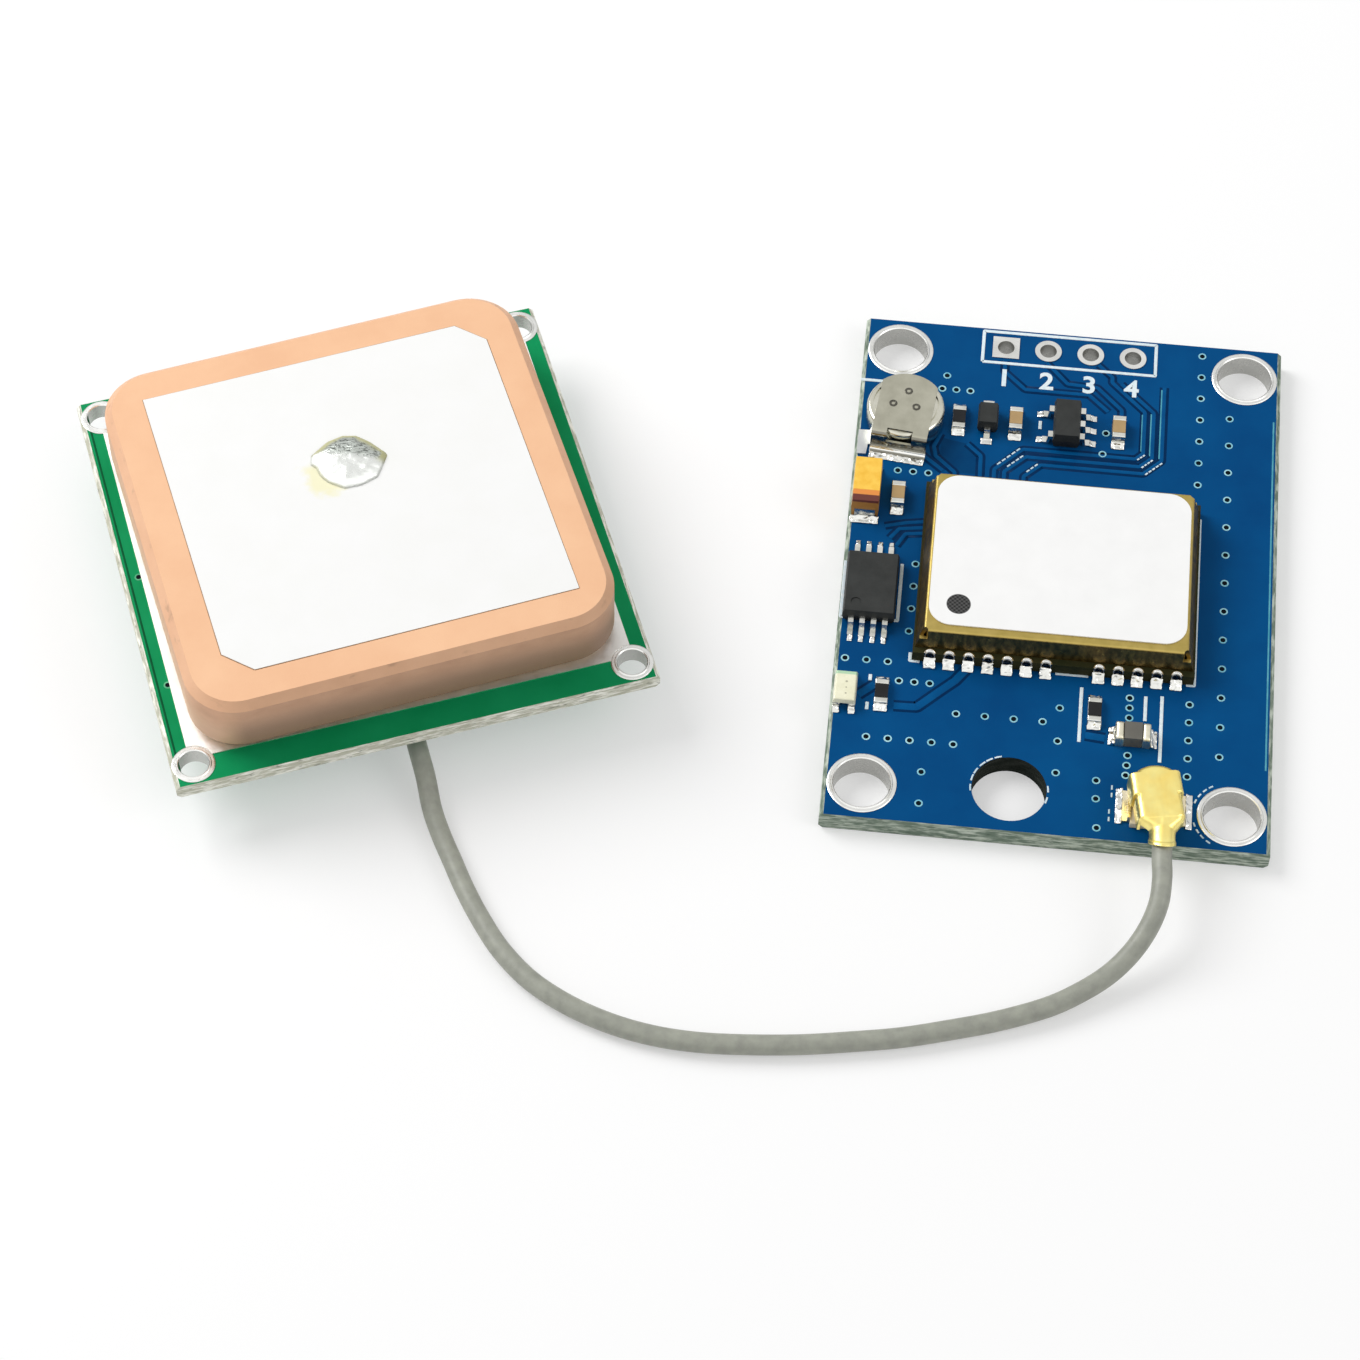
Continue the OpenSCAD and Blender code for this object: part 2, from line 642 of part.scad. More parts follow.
// Extrudes an upright outline along X, centred
module along_x(w) {
  translate([-w / 2, 0, 0]) rotate([90, 0, 90]) linear_extrude(w) children();
}

// Places a child on the receiver board's top face
module on_board(at, turn = 0) {
  translate([at[0], at[1], board_t]) rotate(turn) children();
}

// Places a child on the carrier's top face
module on_carrier(at) {
  translate([module_at[0] + at[0], module_at[1] + at[1], board_t + carrier_t]) children();
}

// Places a child in the antenna's own frame, with its front towards the cable
module at_antenna(z = 0) {
  translate([antenna_x, antenna_y, z]) rotate(antenna_turn) children();
}

// Places a child in the ceramic's frame, which is turned a little on its board
module at_ceramic(z) {
  at_antenna(z) rotate(ceramic_skew) translate([ceramic_x, 0, 0]) children();
}

// Places a child on the axis of the feed pin
module at_feed(z) {
  at_ceramic(z) translate([electrode_x, feed_y, 0]) children();
}

// Places a child upside down on the underside of the antenna's board
module under_antenna(at) {
  at_antenna(antenna_board_z) translate([at[0], at[1], 0]) rotate([180, 0, 0]) children();
}

// Body with drafted sides
module moulded_body(w, l, h, draft) {
  intersection() {
    along_y(l) polygon(parting_section(w, h, draft));
    along_x(w) polygon(parting_section(l, h, draft));
  }
}

// Solid box with round top edges, narrower at the top
module folded_box(w, l, top_w, top_l, h, r) {
  intersection() {
    along_y(l) polygon(bent_section(w, top_w, h, r));
    along_x(w) polygon(bent_section(l, top_l, h, r));
  }
}

// Lead that leaves a body along +Y at its parting band and ends in a flat foot
module gull_lead(reach, rise, w) {
  knee = reach * lead_knee_share;
  heel = reach * lead_heel_share;
  along_x(w) polygon([
    [0, rise], [knee - lead_t, rise], [heel - lead_t, 0], [reach, 0], [reach, lead_t],
    [heel, lead_t], [knee, rise + lead_t], [0, rise + lead_t]
  ]);
}

// Height of a lead's underside where it leaves a body
function lead_rise(h) = body_lift + h / 2 - lead_t / 2;

// Leads of one row, spread along X, that leave a body's +Y side
module lead_row(count, pitch, edge, h, reach, w, skip = []) {
  for (i = [0:count - 1])
    if (len([for (s = skip) if (s == i) s]) == 0)
      translate([(i - (count - 1) / 2) * pitch, edge, 0]) gull_lead(reach, lead_rise(h), w);
}

// Fillet of solder with its heel on the y = 0 plane and its toe towards +Y
module fillet(w, rise, run = solder_run) {
  along_x(w) polygon([
    [0, 0], [run, 0], [run, solder_toe], [run * fillet_knee[0], rise * fillet_knee[1]], [0, rise]
  ]);
}

// Fillets at both ends of a part that lies along Y
module end_fillets(l, w, rise) {
  for (a = [0, 180])
    rotate(a) translate([0, l / 2, 0]) fillet(w, rise);
}

// Fillets at the toes of one row of leads
module toe_fillets(count, pitch, edge, reach, w, skip = []) {
  for (i = [0:count - 1])
    if (len([for (s = skip) if (s == i) s]) == 0)
      translate([(i - (count - 1) / 2) * pitch, edge + reach, 0]) fillet(w, lead_t);
}

// End caps of a chip part that lies along Y
module end_caps(l, w, h, cap, r = cap_round) {
  for (sy = [-1, 1])
    translate([0, sy * (l - cap) / 2, 0]) folded_box(w, cap, w, cap, h, r);
}

// Body of a chip part between its end caps
module chip_core(l, w, h, cap) {
  translate([0, 0, cap_proud]) slab([w - 2 * cap_proud, l - 2 * cap, h - 2 * cap_proud]);
}

// Outline of a header pad, square at the first hole
module pad_outline(first) {
  if (first)
    square(header_pad_d, center = true);
  else
    circle(d = header_pad_d);
}

// Plated hole through a board: barrel, a ring on top with a rolled lip, and a ring let in below
module eyelet(hole_d, ring_d, t) {
  bore = hole_d / 2;
  ring = ring_d / 2;
  top = t + plating_t;
  rotate_extrude() polygon([
    [bore, 0], [ring, 0], [ring, plating_t], [bore + plating_t, plating_t], [bore + plating_t, t],
    [ring, t], [ring, top - plating_t / 2], [ring - plating_t, top], [bore + 3 * eyelet_lip, top],
    [bore + 2 * eyelet_lip, top + eyelet_lip], [bore + eyelet_lip, top + eyelet_lip], [bore, top]
  ]);
}

// Room for a plated hole and its lower ring
module eyelet_cut(hole_d, ring_d, t) {
  translate([0, 0, -cut]) cylinder(d = hole_d + 2 * plating_t, h = t + 2 * cut);
  translate([0, 0, -cut]) cylinder(d = ring_d, h = plating_t + cut);
}

// Receiver board

// Section across a board, with a slope above and below along both side edges
function parted_section(w, t) = [
  [-w / 2 + edge_slope, 0], [w / 2 - edge_slope, 0], [w / 2, edge_depth], [w / 2, t - edge_depth],
  [w / 2 - edge_slope, t], [-w / 2 + edge_slope, t], [-w / 2, t - edge_depth], [-w / 2, edge_depth]
];

module receiver_board() color("steelblue") difference() {
  along_y(board_l) polygon(parted_section(board_w, board_t));
  for (p = mount_points)
    translate(p) eyelet_cut(mount_hole_d, mount_ring_d, board_t);
  for (i = [0:header_count - 1]) {
    translate(header_points[i]) translate([0, 0, -cut])
      cylinder(d = header_hole_d + 2 * plating_t, h = board_t + 2 * cut);
    translate(header_points[i]) translate([0, 0, -cut])
      linear_extrude(plating_t + cut) pad_outline(i == 0);
  }
  translate(locating_point) translate([0, 0, -cut]) cylinder(d = locating_hole_d, h = board_t + 2 * cut);
}

module mounting_eyelets() color("gainsboro")
  for (p = mount_points)
    translate(p) eyelet(mount_hole_d, mount_ring_d, board_t);

module header_pads() color("silver")
  for (i = [0:header_count - 1])
    translate(header_points[i]) difference() {
      union() {
        linear_extrude(plating_t) pad_outline(i == 0);
        translate([0, 0, board_t]) linear_extrude(plating_t) pad_outline(i == 0);
        cylinder(d = header_hole_d + 2 * plating_t, h = board_t + plating_t);
      }
      translate([0, 0, -cut]) cylinder(d = header_hole_d, h = board_t + 2 * cut);
    }

// Receiver module

module module_carrier() color("darkolivegreen") on_board(module_at) difference() {
  slab([carrier_w, carrier_l, carrier_t]);
  for (x = contact_offsets, sy = [-1, 1])
    translate([x, sy * carrier_l / 2, -cut]) cylinder(r = contact_r, h = carrier_t + 2 * cut);
}

module module_shield() color("darkgoldenrod") on_carrier([0, 0]) difference() {
  folded_box(shield_w, shield_l, shield_top_w, shield_top_l, shield_h, shield_bend);
  folded_box(
    shield_w - 2 * shield_t, shield_l - 2 * shield_t,
    shield_top_w - 2 * shield_t, shield_top_l - 2 * shield_t,
    shield_h - shield_t, shield_bend - shield_t / 2
  );
  for (sx = [-1, 1], sy = [-1, 1])
    translate([sx * shield_top_w / 2, sy * shield_top_l / 2, shield_h / 2])
      cylinder(d = shield_relief_d, h = shield_h);
}

module module_label() color("white") on_carrier([0, label_y])
  translate([0, 0, shield_h]) linear_extrude(label_t) round_rect(label_w, label_l, label_r);

module module_solder() color("lightgray") on_board(module_at)
  for (x = contact_offsets, a = [0, 180])
    rotate(a) translate([a == 0 ? x : -x, carrier_l / 2, 0])
      fillet(contact_solder_w, contact_solder_rise, contact_solder_run);

module receiver_chip() color("dimgray") on_carrier(receiver_chip_at) slab(receiver_chip_size);

module reference_crystal() color("silver") on_carrier(crystal_at) {
  slab([crystal_size[0], crystal_size[1], crystal_size[2] - crystal_lid_t]);
  slab([crystal_size[0] - 2 * crystal_lid_step, crystal_size[1] - 2 * crystal_lid_step, crystal_size[2]]);
}

module band_filter() color("tan") on_carrier(band_filter_at) slab(band_filter_size);

// Backup cell

module backup_cell() color("lightgray") on_board(cell_at)
  translate([0, 0, tab_t]) difference() {
    rotate_extrude() {
      square([cell_d / 2 - cell_edge_r, cell_h]);
      square([cell_d / 2, cell_h - cell_edge_r]);
      translate([cell_d / 2 - cell_edge_r, cell_h - cell_edge_r]) circle(r = cell_edge_r);
    }
    translate([0, 0, cell_h - cell_groove]) difference() {
      cylinder(r = cell_d / 2 - cell_lip, h = cell_groove + cut);
      translate([0, 0, -cut]) cylinder(r = cell_d / 2 - cell_lip - cell_groove, h = cell_groove + 3 * cut);
    }
  }

// Arc of radius r about a centre, from one angle to another
function arc(at, r, from, to) = [
  for (i = [0:bend_steps])
    let (a = from + (to - from) * i / bend_steps)
    at + r * [cos(a), sin(a)]
];

// Side view of the upper tab's strip: foot, leg and top plate, joined by round bends
function tab_section() =
  let (
    top_bend = [-tab_leg_y - tab_t + tab_bend, tab_top_z + tab_t - tab_bend],
    foot_bend = [-tab_leg_y - tab_bend, tab_bend],
    toe = -tab_leg_y - tab_t - tab_foot
  )
  concat(
    [[toe, tab_t], [toe, 0]],
    arc(foot_bend, tab_bend, -90, 0),
    arc(top_bend, tab_bend_in, 180, 90),
    [[0, tab_top_z], [0, tab_top_z + tab_t]],
    arc(top_bend, tab_bend, 90, 180),
    arc(foot_bend, tab_bend_in, 0, -90)
  );

module cell_upper_tab() color("darkgray") on_board(cell_at, cell_turn) difference() {
  union() {
    translate([0, 0, tab_top_z]) linear_extrude(tab_t) intersection() {
      circle(d = cell_d - 2 * tab_gap);
      square([tab_w, cell_d], center = true);
    }
    along_x(tab_w) polygon(tab_section());
  }
  translate([-tab_slot_w / 2, -tab_leg_y - tab_t - cut, tab_top_z - tab_slot_drop])
    cube([tab_slot_w, tab_slot_in + tab_t + cut, tab_slot_drop + tab_t + cut]);
}

module cell_lower_tab() color("darkgray") translate([0, 0, board_t]) linear_extrude(tab_t) difference() {
  union() {
    translate(cell_at) circle(d = lower_tab_disc_d);
    translate([left_edge + lower_tab_edge, cell_at[1] - lower_tab_drop - lower_tab_w / 2])
      square([cell_at[0] - left_edge - lower_tab_edge, lower_tab_w]);
    translate([left_edge + lower_tab_edge, cell_at[1] - lower_tab_reach])
      square([lower_tab_w, lower_tab_reach - lower_tab_drop]);
  }
  translate(cell_at) rotate(cell_turn)
    translate([-tab_w / 2 - lower_tab_edge, -tab_leg_y - tab_t - tab_foot - lower_tab_turn_in])
      square([tab_w + 2 * lower_tab_edge, tab_foot + tab_t + lower_tab_turn_in + tab_gap / 2]);
}

// Chip parts

module capacitor_bodies() color("tan")
  for (p = capacitor_points)
    on_board(p) chip_core(chip_l, chip_w, capacitor_h, chip_cap);

module capacitor_ends() color("silver")
  for (p = capacitor_points)
    on_board(p) end_caps(chip_l, chip_w, capacitor_h, chip_cap);

module resistor_bodies() color("white")
  for (p = resistor_points)
    on_board(p) chip_core(chip_l, chip_w, resistor_h, chip_cap);

module resistor_coats() color("black")
  for (p = resistor_points)
    on_board(p) translate([0, 0, resistor_h - cap_proud])
      slab([chip_w - 2 * cap_proud, chip_l - 2 * chip_cap, coat_t]);

module resistor_ends() color("silver")
  for (p = resistor_points)
    on_board(p) end_caps(chip_l, chip_w, resistor_h, chip_cap);

module inductor_core() color("dimgray")
  on_board(inductor_at, 90) chip_core(inductor_l, inductor_w, inductor_h, inductor_cap);

module inductor_ends() color("silver")
  on_board(inductor_at, 90) end_caps(inductor_l, inductor_w, inductor_h, inductor_cap, inductor_round);

module led_base() color("ivory")
  on_board(led_at) slab([led_w, led_l - 2 * led_cap, led_base_t]);

module led_lens() color("beige") on_board(led_at)
  translate([0, 0, led_base_t]) folded_box(
    led_w, led_l, led_w - body_draft, led_l - body_draft, led_lens_h, body_draft
  );

module led_contacts() color("silver")
  on_board(led_at)
    for (sy = [-1, 1])
      difference() {
        translate([0, sy * (led_l - led_cap) / 2, 0]) slab([led_w, led_cap, led_base_t]);
        translate([0, sy * led_l / 2, -cut]) cylinder(r = led_notch_r, h = led_base_t + 2 * cut);
      }

module tantalum_body() color("gold") on_board(tantalum_at)
  translate([0, 0, tantalum_strip_t]) moulded_body(
    tantalum_w, tantalum_l - 2 * tantalum_strip_t, tantalum_h - tantalum_strip_t, tantalum_draft
  );

module tantalum_terminals() color("silver") on_board(tantalum_at)
  for (a = [0, 180])
    rotate(a) translate([0, tantalum_l / 2 - tantalum_strip_t, 0]) {
      translate([0, tantalum_strip_t / 2, 0])
        slab([tantalum_strip_w, tantalum_strip_t, (tantalum_h + lead_t) / 2]);
      translate([0, -tantalum_strip_w / 4, 0])
        slab([tantalum_strip_w, tantalum_strip_w / 2, tantalum_strip_t]);
    }

// Moulded parts with leads

module diode_body() color("dimgray") on_board(diode_at)
  translate([0, 0, body_lift]) moulded_body(diode_w, diode_l, diode_h, body_draft);

module diode_leads() color("silver") on_board(diode_at)
  for (a = [0, 180])
    rotate(a) lead_row(1, 0, diode_l / 2, diode_h, diode_reach, diode_lead_w);

module regulator_body() color("dimgray") on_board(regulator_at)
  translate([0, 0, body_lift]) moulded_body(regulator_w, regulator_l, regulator_h, body_draft);

module regulator_leads() color("silver") on_board(regulator_at) {
  rotate(-90) lead_row(
    regulator_rows, regulator_pitch, regulator_w / 2, regulator_h, regulator_reach, regulator_lead_w
  );
  rotate(90) lead_row(
    regulator_rows, regulator_pitch, regulator_w / 2, regulator_h, regulator_reach, regulator_lead_w, [1]
  );
}

// Body with a round dimple beside its first lead
module memory_body() color("dimgray") on_board(memory_at) translate([0, 0, body_lift]) difference() {
  moulded_body(memory_w, memory_l, memory_h, body_draft);
  translate([dimple_inset - memory_w / 2, dimple_inset - memory_l / 2, memory_h - dimple_depth])
    cylinder(r = dimple_r, h = dimple_depth + cut);
}

module memory_leads() color("silver") on_board(memory_at)
  for (a = [0, 180])
    rotate(a) lead_row(memory_rows, memory_pitch, memory_l / 2, memory_h, memory_reach, memory_lead_w);

// Solder at the ends of the parts and at the toes of their leads
module part_solder() color("lightgray") {
  for (p = capacitor_points)
    on_board(p) end_fillets(chip_l, chip_w, solder_rise);
  for (p = resistor_points)
    on_board(p) end_fillets(chip_l, chip_w, solder_rise);
  on_board(inductor_at, 90) end_fillets(inductor_l, inductor_w, solder_rise);
  on_board(led_at)
    for (sx = [-1, 1])
      translate([sx * (led_w - led_lobe_w) / 2, 0, 0]) end_fillets(led_l, led_lobe_w, solder_rise);
  on_board(tantalum_at) end_fillets(tantalum_l, tantalum_w + tantalum_strip_t, solder_rise);
  on_board(diode_at)
    for (a = [0, 180])
      rotate(a) toe_fillets(1, 0, diode_l / 2, diode_reach, 2 * diode_lead_w);
  on_board(regulator_at) {
    rotate(-90) toe_fillets(
      regulator_rows, regulator_pitch, regulator_w / 2, regulator_reach, regulator_lead_w
    );
    rotate(90) toe_fillets(
      regulator_rows, regulator_pitch, regulator_w / 2, regulator_reach, regulator_lead_w, [1]
    );
  }
  on_board(memory_at)
    for (a = [0, 180])
      rotate(a) toe_fillets(memory_rows, memory_pitch, memory_l / 2, memory_reach, memory_lead_w);
  on_board(cell_at, cell_turn)
    translate([0, -tab_leg_y - tab_t - tab_foot, 0]) rotate(180) fillet(tab_w, tab_t + solder_toe);
  on_board(socket_at, 90) end_fillets(socket_base_w + 2 * socket_lug, lug_solder_w, socket_wall);
}

// Coaxial connector

module socket_base() color("linen") on_board(socket_at) difference() {
  slab([socket_base_w, socket_base_w, socket_base_t]);
  translate([0, 0, -cut]) cylinder(d = socket_pin_d, h = socket_base_t + 2 * cut);
  translate([0, socket_base_w / 4, -cut]) slab([signal_lug_w, socket_base_w / 2 + cut, plating_t + cut]);
}

module socket_ring() color("gold") on_board(socket_at) {
  bridge_in = (socket_ring_d - socket_wall) / 2;
  bridge_out = socket_base_w / 2 + socket_wall;
  translate([0, 0, socket_base_t]) difference() {
    cylinder(d = socket_ring_d, h = socket_ring_h - socket_base_t);
    translate([0, 0, -cut]) cylinder(d = socket_ring_d - 2 * socket_wall, h = socket_ring_h + cut);
  }
  for (sx = [-1, 1]) {
    translate([sx * (socket_base_w + socket_lug) / 2, 0, 0]) slab([socket_lug, ground_lug_w, socket_wall]);
    translate([sx * (socket_base_w + socket_wall) / 2, 0, 0])
      slab([socket_wall, ground_lug_w, socket_base_t + socket_wall]);
    translate([sx * (bridge_in + bridge_out) / 2, 0, socket_base_t])
      slab([bridge_out - bridge_in, ring_bridge_w, socket_wall]);
  }
}

module socket_pin() color("gold") on_board(socket_at) {
  cylinder(d = socket_pin_d, h = socket_pin_h);
  translate([0, (socket_base_w / 2 + socket_lug) / 2, 0])
    slab([signal_lug_w, socket_base_w / 2 + socket_lug, plating_t]);
}

// Section of the plug across its folded sides, from the skirt's foot to the top
module plug_section(w) {
  translate([0, plug_skirt_base]) difference() {
    polygon(bent_section(w, w, plug_h - plug_skirt_base, plug_bend));
    translate([0, -cut])
      polygon(bent_section(
        w - 2 * plug_t, w - 2 * plug_t, plug_h - plug_skirt_base - plug_t + cut, plug_bend - plug_t / 2
      ));
  }
}

// Section of the plug's round end: a skirt that bends into the flat top
function skirt_section() = concat(
  [
    [0, plug_h - plug_t], [plug_cap_r - plug_t, plug_h - plug_t],
    [plug_cap_r - plug_t, plug_skirt_base], [plug_cap_r, plug_skirt_base]
  ],
  quarter_bend(plug_cap_r, plug_h, plug_bend),
  [[0, plug_h]]
);

// Ring inside the plug that grips the socket's ring
module plug_ring() {
  translate([0, 0, plug_ring_base]) difference() {
    cylinder(r = plug_ring_r + plug_t, h = plug_h - plug_t / 2 - plug_ring_base);
    translate([0, 0, -cut]) cylinder(r = plug_ring_r, h = plug_h - plug_t - plug_ring_base + cut);
  }
}

// Outline of the plug above the cable's axis at its front folded sides, a skin's thickness inside them
function fold_outline() =
  let (
    half = plug_front_w / 2 - shoulder_skin,
    corner = quarter_bend(half, plug_h - shoulder_skin, plug_bend)
  )
  concat(
    [[half, cable_axis_h]],
    corner,
    [for (i = [bend_steps:-1:0]) [-corner[i][0], corner[i][1]]],
    [[-half, cable_axis_h]]
  );

// Upper half of the crimp's outline with as many points, a skin's thickness inside it
function crimp_outline() =
  let (
    last = 2 * bend_steps + 3,
    r = crimp_d / 2 - shoulder_skin
  )
  [
    for (i = [0:last])
      let (a = 180 * i / last)
      [r * cos(a), cable_axis_h + r * sin(a)]
  ];

// Smooth rise from 0 to 1
function ease(t) = t * t * (3 - 2 * t);

// One slice of the shoulder, turned by degrees towards the crimp as it narrows
function shoulder_slice(t) =
  let (
    from = fold_outline(),
    to = crimp_outline(),
    s = ease(t),
    turn = crimp_turn * t,
    foot = [neck_at[0] * t, plug_shoulder_y + shoulder_in - (shoulder_l + shoulder_in) * t],
    pulled = foot + [tan(crimp_turn) * (neck_at[1] - foot[1]) * t, 0]
  )
  [
    for (i = [0:len(from) - 1])
      let (p = from[i] * (1 - s) + to[i] * s)
      [pulled[0] + p[0] * cos(turn), pulled[1] + p[0] * sin(turn), p[1]]
  ];

// Shoulder that narrows smoothly from the folded sides to the crimp
module plug_shoulder() {
  n = 2 * bend_steps + 4;
  points = [for (k = [0:shoulder_slices]) each shoulder_slice(k / shoulder_slices)];
  start_cap = [[for (i = [0:n - 1]) i]];
  end_cap = [[for (i = [n - 1:-1:0]) shoulder_slices * n + i]];
  walls = [
    for (k = [0:shoulder_slices - 1], i = [0:n - 1])
      let (a = k * n + i, b = k * n + (i + 1) % n)
      each [[a, a + n, b], [b, a + n, b + n]]
  ];
  polyhedron(points = points, faces = concat(start_cap, walls, end_cap), convexity = 4);
}

// Flat top of the plug between its two pairs of folded sides
module plug_bridge() {
  flat = plug_front_w / 2 - plug_bend;
  flat_l = shoulder_in - plug_shoulder_y;
  translate([0, -flat_l / 2, plug_h - plug_t]) slab([2 * flat, flat_l, plug_t]);
}

// Places a child at the end of the crimp, on the cable's axis
module at_crimp() {
  translate([neck_at[0], neck_at[1], cable_axis_h]) rotate(crimp_turn) translate([0, -crimp_l, 0]) children();
}

// Slab across the crimp that leans with its end, between two distances from that end
module crimp_slice(from, to) {
  translate([0, 0, crimp_lip_d / 2]) rotate([crimp_slant, 0, 0])
    translate([-crimp_d, from, -3 * crimp_d]) cube([2 * crimp_d, to - from, 4 * crimp_d]);
}

// Sleeve of the plug that is closed round the cable, with a lip along its slanted end
module plug_crimp() {
  rotate([-90, 0, 0]) cylinder(d = crimp_d, h = crimp_l + crimp_root);
  intersection() {
    rotate([-90, 0, 0]) cylinder(d = crimp_lip_d, h = crimp_l);
    crimp_slice(0, crimp_lip_l);
  }
}

// Sheet shell of the plug: round end, two pairs of folded sides, shoulder and crimp
module plug_shell() color("gold") on_board(socket_at, plug_turn) {
  intersection() {
    rotate_extrude() polygon(skirt_section());
    slab([plug_flat_w, 4 * plug_cap_r, plug_h + cut]);
  }
  plug_ring();
  translate([0, plug_side_start - plug_side_a / 2, 0]) along_y(plug_side_a) plug_section(plug_w);
  translate([0, plug_shoulder_y + plug_side_b / 2, 0]) along_y(plug_side_b) plug_section(plug_front_w);
  plug_bridge();
  difference() {
    union() {
      plug_shoulder();
      at_crimp() plug_crimp();
    }
    at_crimp() translate([0, crimp_bore_l, 0]) rotate([90, 0, 0])
      cylinder(d = cable_d + 2 * crimp_bore_clear, h = crimp_bore_l + cut);
    at_crimp() crimp_slice(-2 * crimp_d, 0);
  }
}

module plug_insulator() color("white") on_board(socket_at, plug_turn)
  translate([0, 0, socket_ring_h]) difference() {
    cylinder(r = plug_ring_r, h = plug_h - plug_t - insulator_drop - socket_ring_h);
    translate([0, 0, -cut]) cylinder(d = contact_d, h = plug_h);
  }

module plug_contact() color("gold") on_board(socket_at, plug_turn) difference() {
  translate([0, 0, contact_base]) cylinder(d = contact_d, h = plug_h - plug_t - contact_base);
  cylinder(d = socket_pin_d + 2 * contact_clear, h = socket_ring_h + contact_clear);
}

// Cable

function unit(v) = v / norm(v);
function route_way(i) =
  let (last = len(cable_route) - 1)
  unit(cable_route[min(i + 1, last)] - cable_route[max(i - 1, 0)]);
function ring_point(i, k) =
  let (
    way = route_way(i),
    side = unit(cross(way, [0, 0, 1])),
    up = cross(side, way),
    a = 360 * (k + 0.5) / cable_sides
  )
  cable_route[i] + cable_d / 2 * (cos(a) * side + sin(a) * up);

module antenna_cable() color("gray") {
  rings = len(cable_route);
  points = [for (i = [0:rings - 1], k = [0:cable_sides - 1]) ring_point(i, k)];
  start_cap = [[for (k = [0:cable_sides - 1]) k]];
  end_cap = [[for (k = [cable_sides - 1:-1:0]) (rings - 1) * cable_sides + k]];
  walls = [
    for (i = [0:rings - 2], k = [0:cable_sides - 1])
      let (a = i * cable_sides + k, b = i * cable_sides + (k + 1) % cable_sides)
      each [[a, a + cable_sides, b], [b, a + cable_sides, b + cable_sides]]
  ];
  polyhedron(points = points, faces = concat(start_cap, walls, end_cap), convexity = 4);
}

// Antenna

module antenna_board() color("seagreen") difference() {
  at_antenna(antenna_board_z)
    along_y(antenna_board_w) polygon(parted_section(antenna_board_w, antenna_board_t));
  at_antenna(antenna_board_z)
    for (p = antenna_points)
      translate(p) eyelet_cut(antenna_hole_d, antenna_ring_d, antenna_board_t);
  at_feed(antenna_board_z - cut) cylinder(d = feed_d + 2 * feed_clear, h = antenna_board_t + 2 * cut);
}

module antenna_eyelets() color("silver") at_antenna(antenna_board_z)
  for (p = antenna_points)
    translate(p) eyelet(antenna_hole_d, antenna_ring_d, antenna_board_t);

module antenna_ground() color("silver") difference() {
  at_antenna(antenna_top_z) difference() {
    slab([ground_w, ground_l, plating_t]);
    for (p = antenna_points)
      translate(p) translate([0, 0, -cut]) cylinder(d = antenna_ring_d, h = plating_t + 2 * cut);
  }
  at_feed(antenna_top_z - cut) cylinder(d = feed_d + 2 * feed_clear, h = plating_t + 2 * cut);
}

module adhesive_pad() color("whitesmoke") difference() {
  at_ceramic(adhesive_z) slab([adhesive_w, adhesive_w, adhesive_t]);
  at_feed(adhesive_z - cut) cylinder(d = feed_d + 2 * feed_clear, h = adhesive_t + 2 * cut);
}

// Ceramic plate with round corners, bevelled along its top and bottom edges
module ceramic_patch() color("peachpuff") difference() {
  at_ceramic(ceramic_z) intersection() {
    linear_extrude(ceramic_t) round_rect(ceramic_w, ceramic_w, ceramic_r);
    along_y(ceramic_w) polygon(bevel_section(ceramic_w));
    along_x(ceramic_w) polygon(bevel_section(ceramic_w));
    corner_cones();
  }
  at_feed(ceramic_z - cut) cylinder(d = feed_d + 2 * feed_clear, h = ceramic_t + 2 * cut);
}

function bevel_section(w) = [
  [-w / 2 + ceramic_bevel, 0], [w / 2 - ceramic_bevel, 0], [w / 2, ceramic_bevel],
  [w / 2, ceramic_t - ceramic_bevel], [w / 2 - ceramic_bevel, ceramic_t],
  [-w / 2 + ceramic_bevel, ceramic_t], [-w / 2, ceramic_t - ceramic_bevel], [-w / 2, ceramic_bevel]
];

// Cross-shaped block with a bevelled round post in each corner
module corner_cones() {
  side = ceramic_w - 2 * ceramic_r;
  slab([side, ceramic_w, ceramic_t]);
  slab([ceramic_w, side, ceramic_t]);
  for (sx = [-1, 1], sy = [-1, 1])
    translate([sx * side / 2, sy * side / 2, 0]) rotate_extrude() polygon([
      [0, 0], [ceramic_r - ceramic_bevel, 0], [ceramic_r, ceramic_bevel],
      [ceramic_r, ceramic_t - ceramic_bevel], [ceramic_r - ceramic_bevel, ceramic_t], [0, ceramic_t]
    ]);
}

module patch_electrode() color("white") difference() {
  half = electrode_w / 2;
  at_ceramic(electrode_z) translate([electrode_x, 0, 0]) linear_extrude(electrode_t) polygon([
    [-half, half], [half - electrode_cut, half], [half, half - electrode_cut],
    [half, -half], [-half + electrode_cut, -half], [-half, -half + electrode_cut]
  ]);
  at_feed(electrode_z - cut) cylinder(d = feed_d + 2 * feed_clear, h = electrode_t + 2 * cut);
}

module feed_pin() color("silver") at_feed(0) {
  translate([0, 0, antenna_board_z - feed_tail])
    cylinder(d = feed_d, h = feed_head_z + feed_head_t - antenna_board_z + feed_tail);
  translate([0, 0, feed_head_z]) cylinder(d = feed_head_d, h = feed_head_t);
}

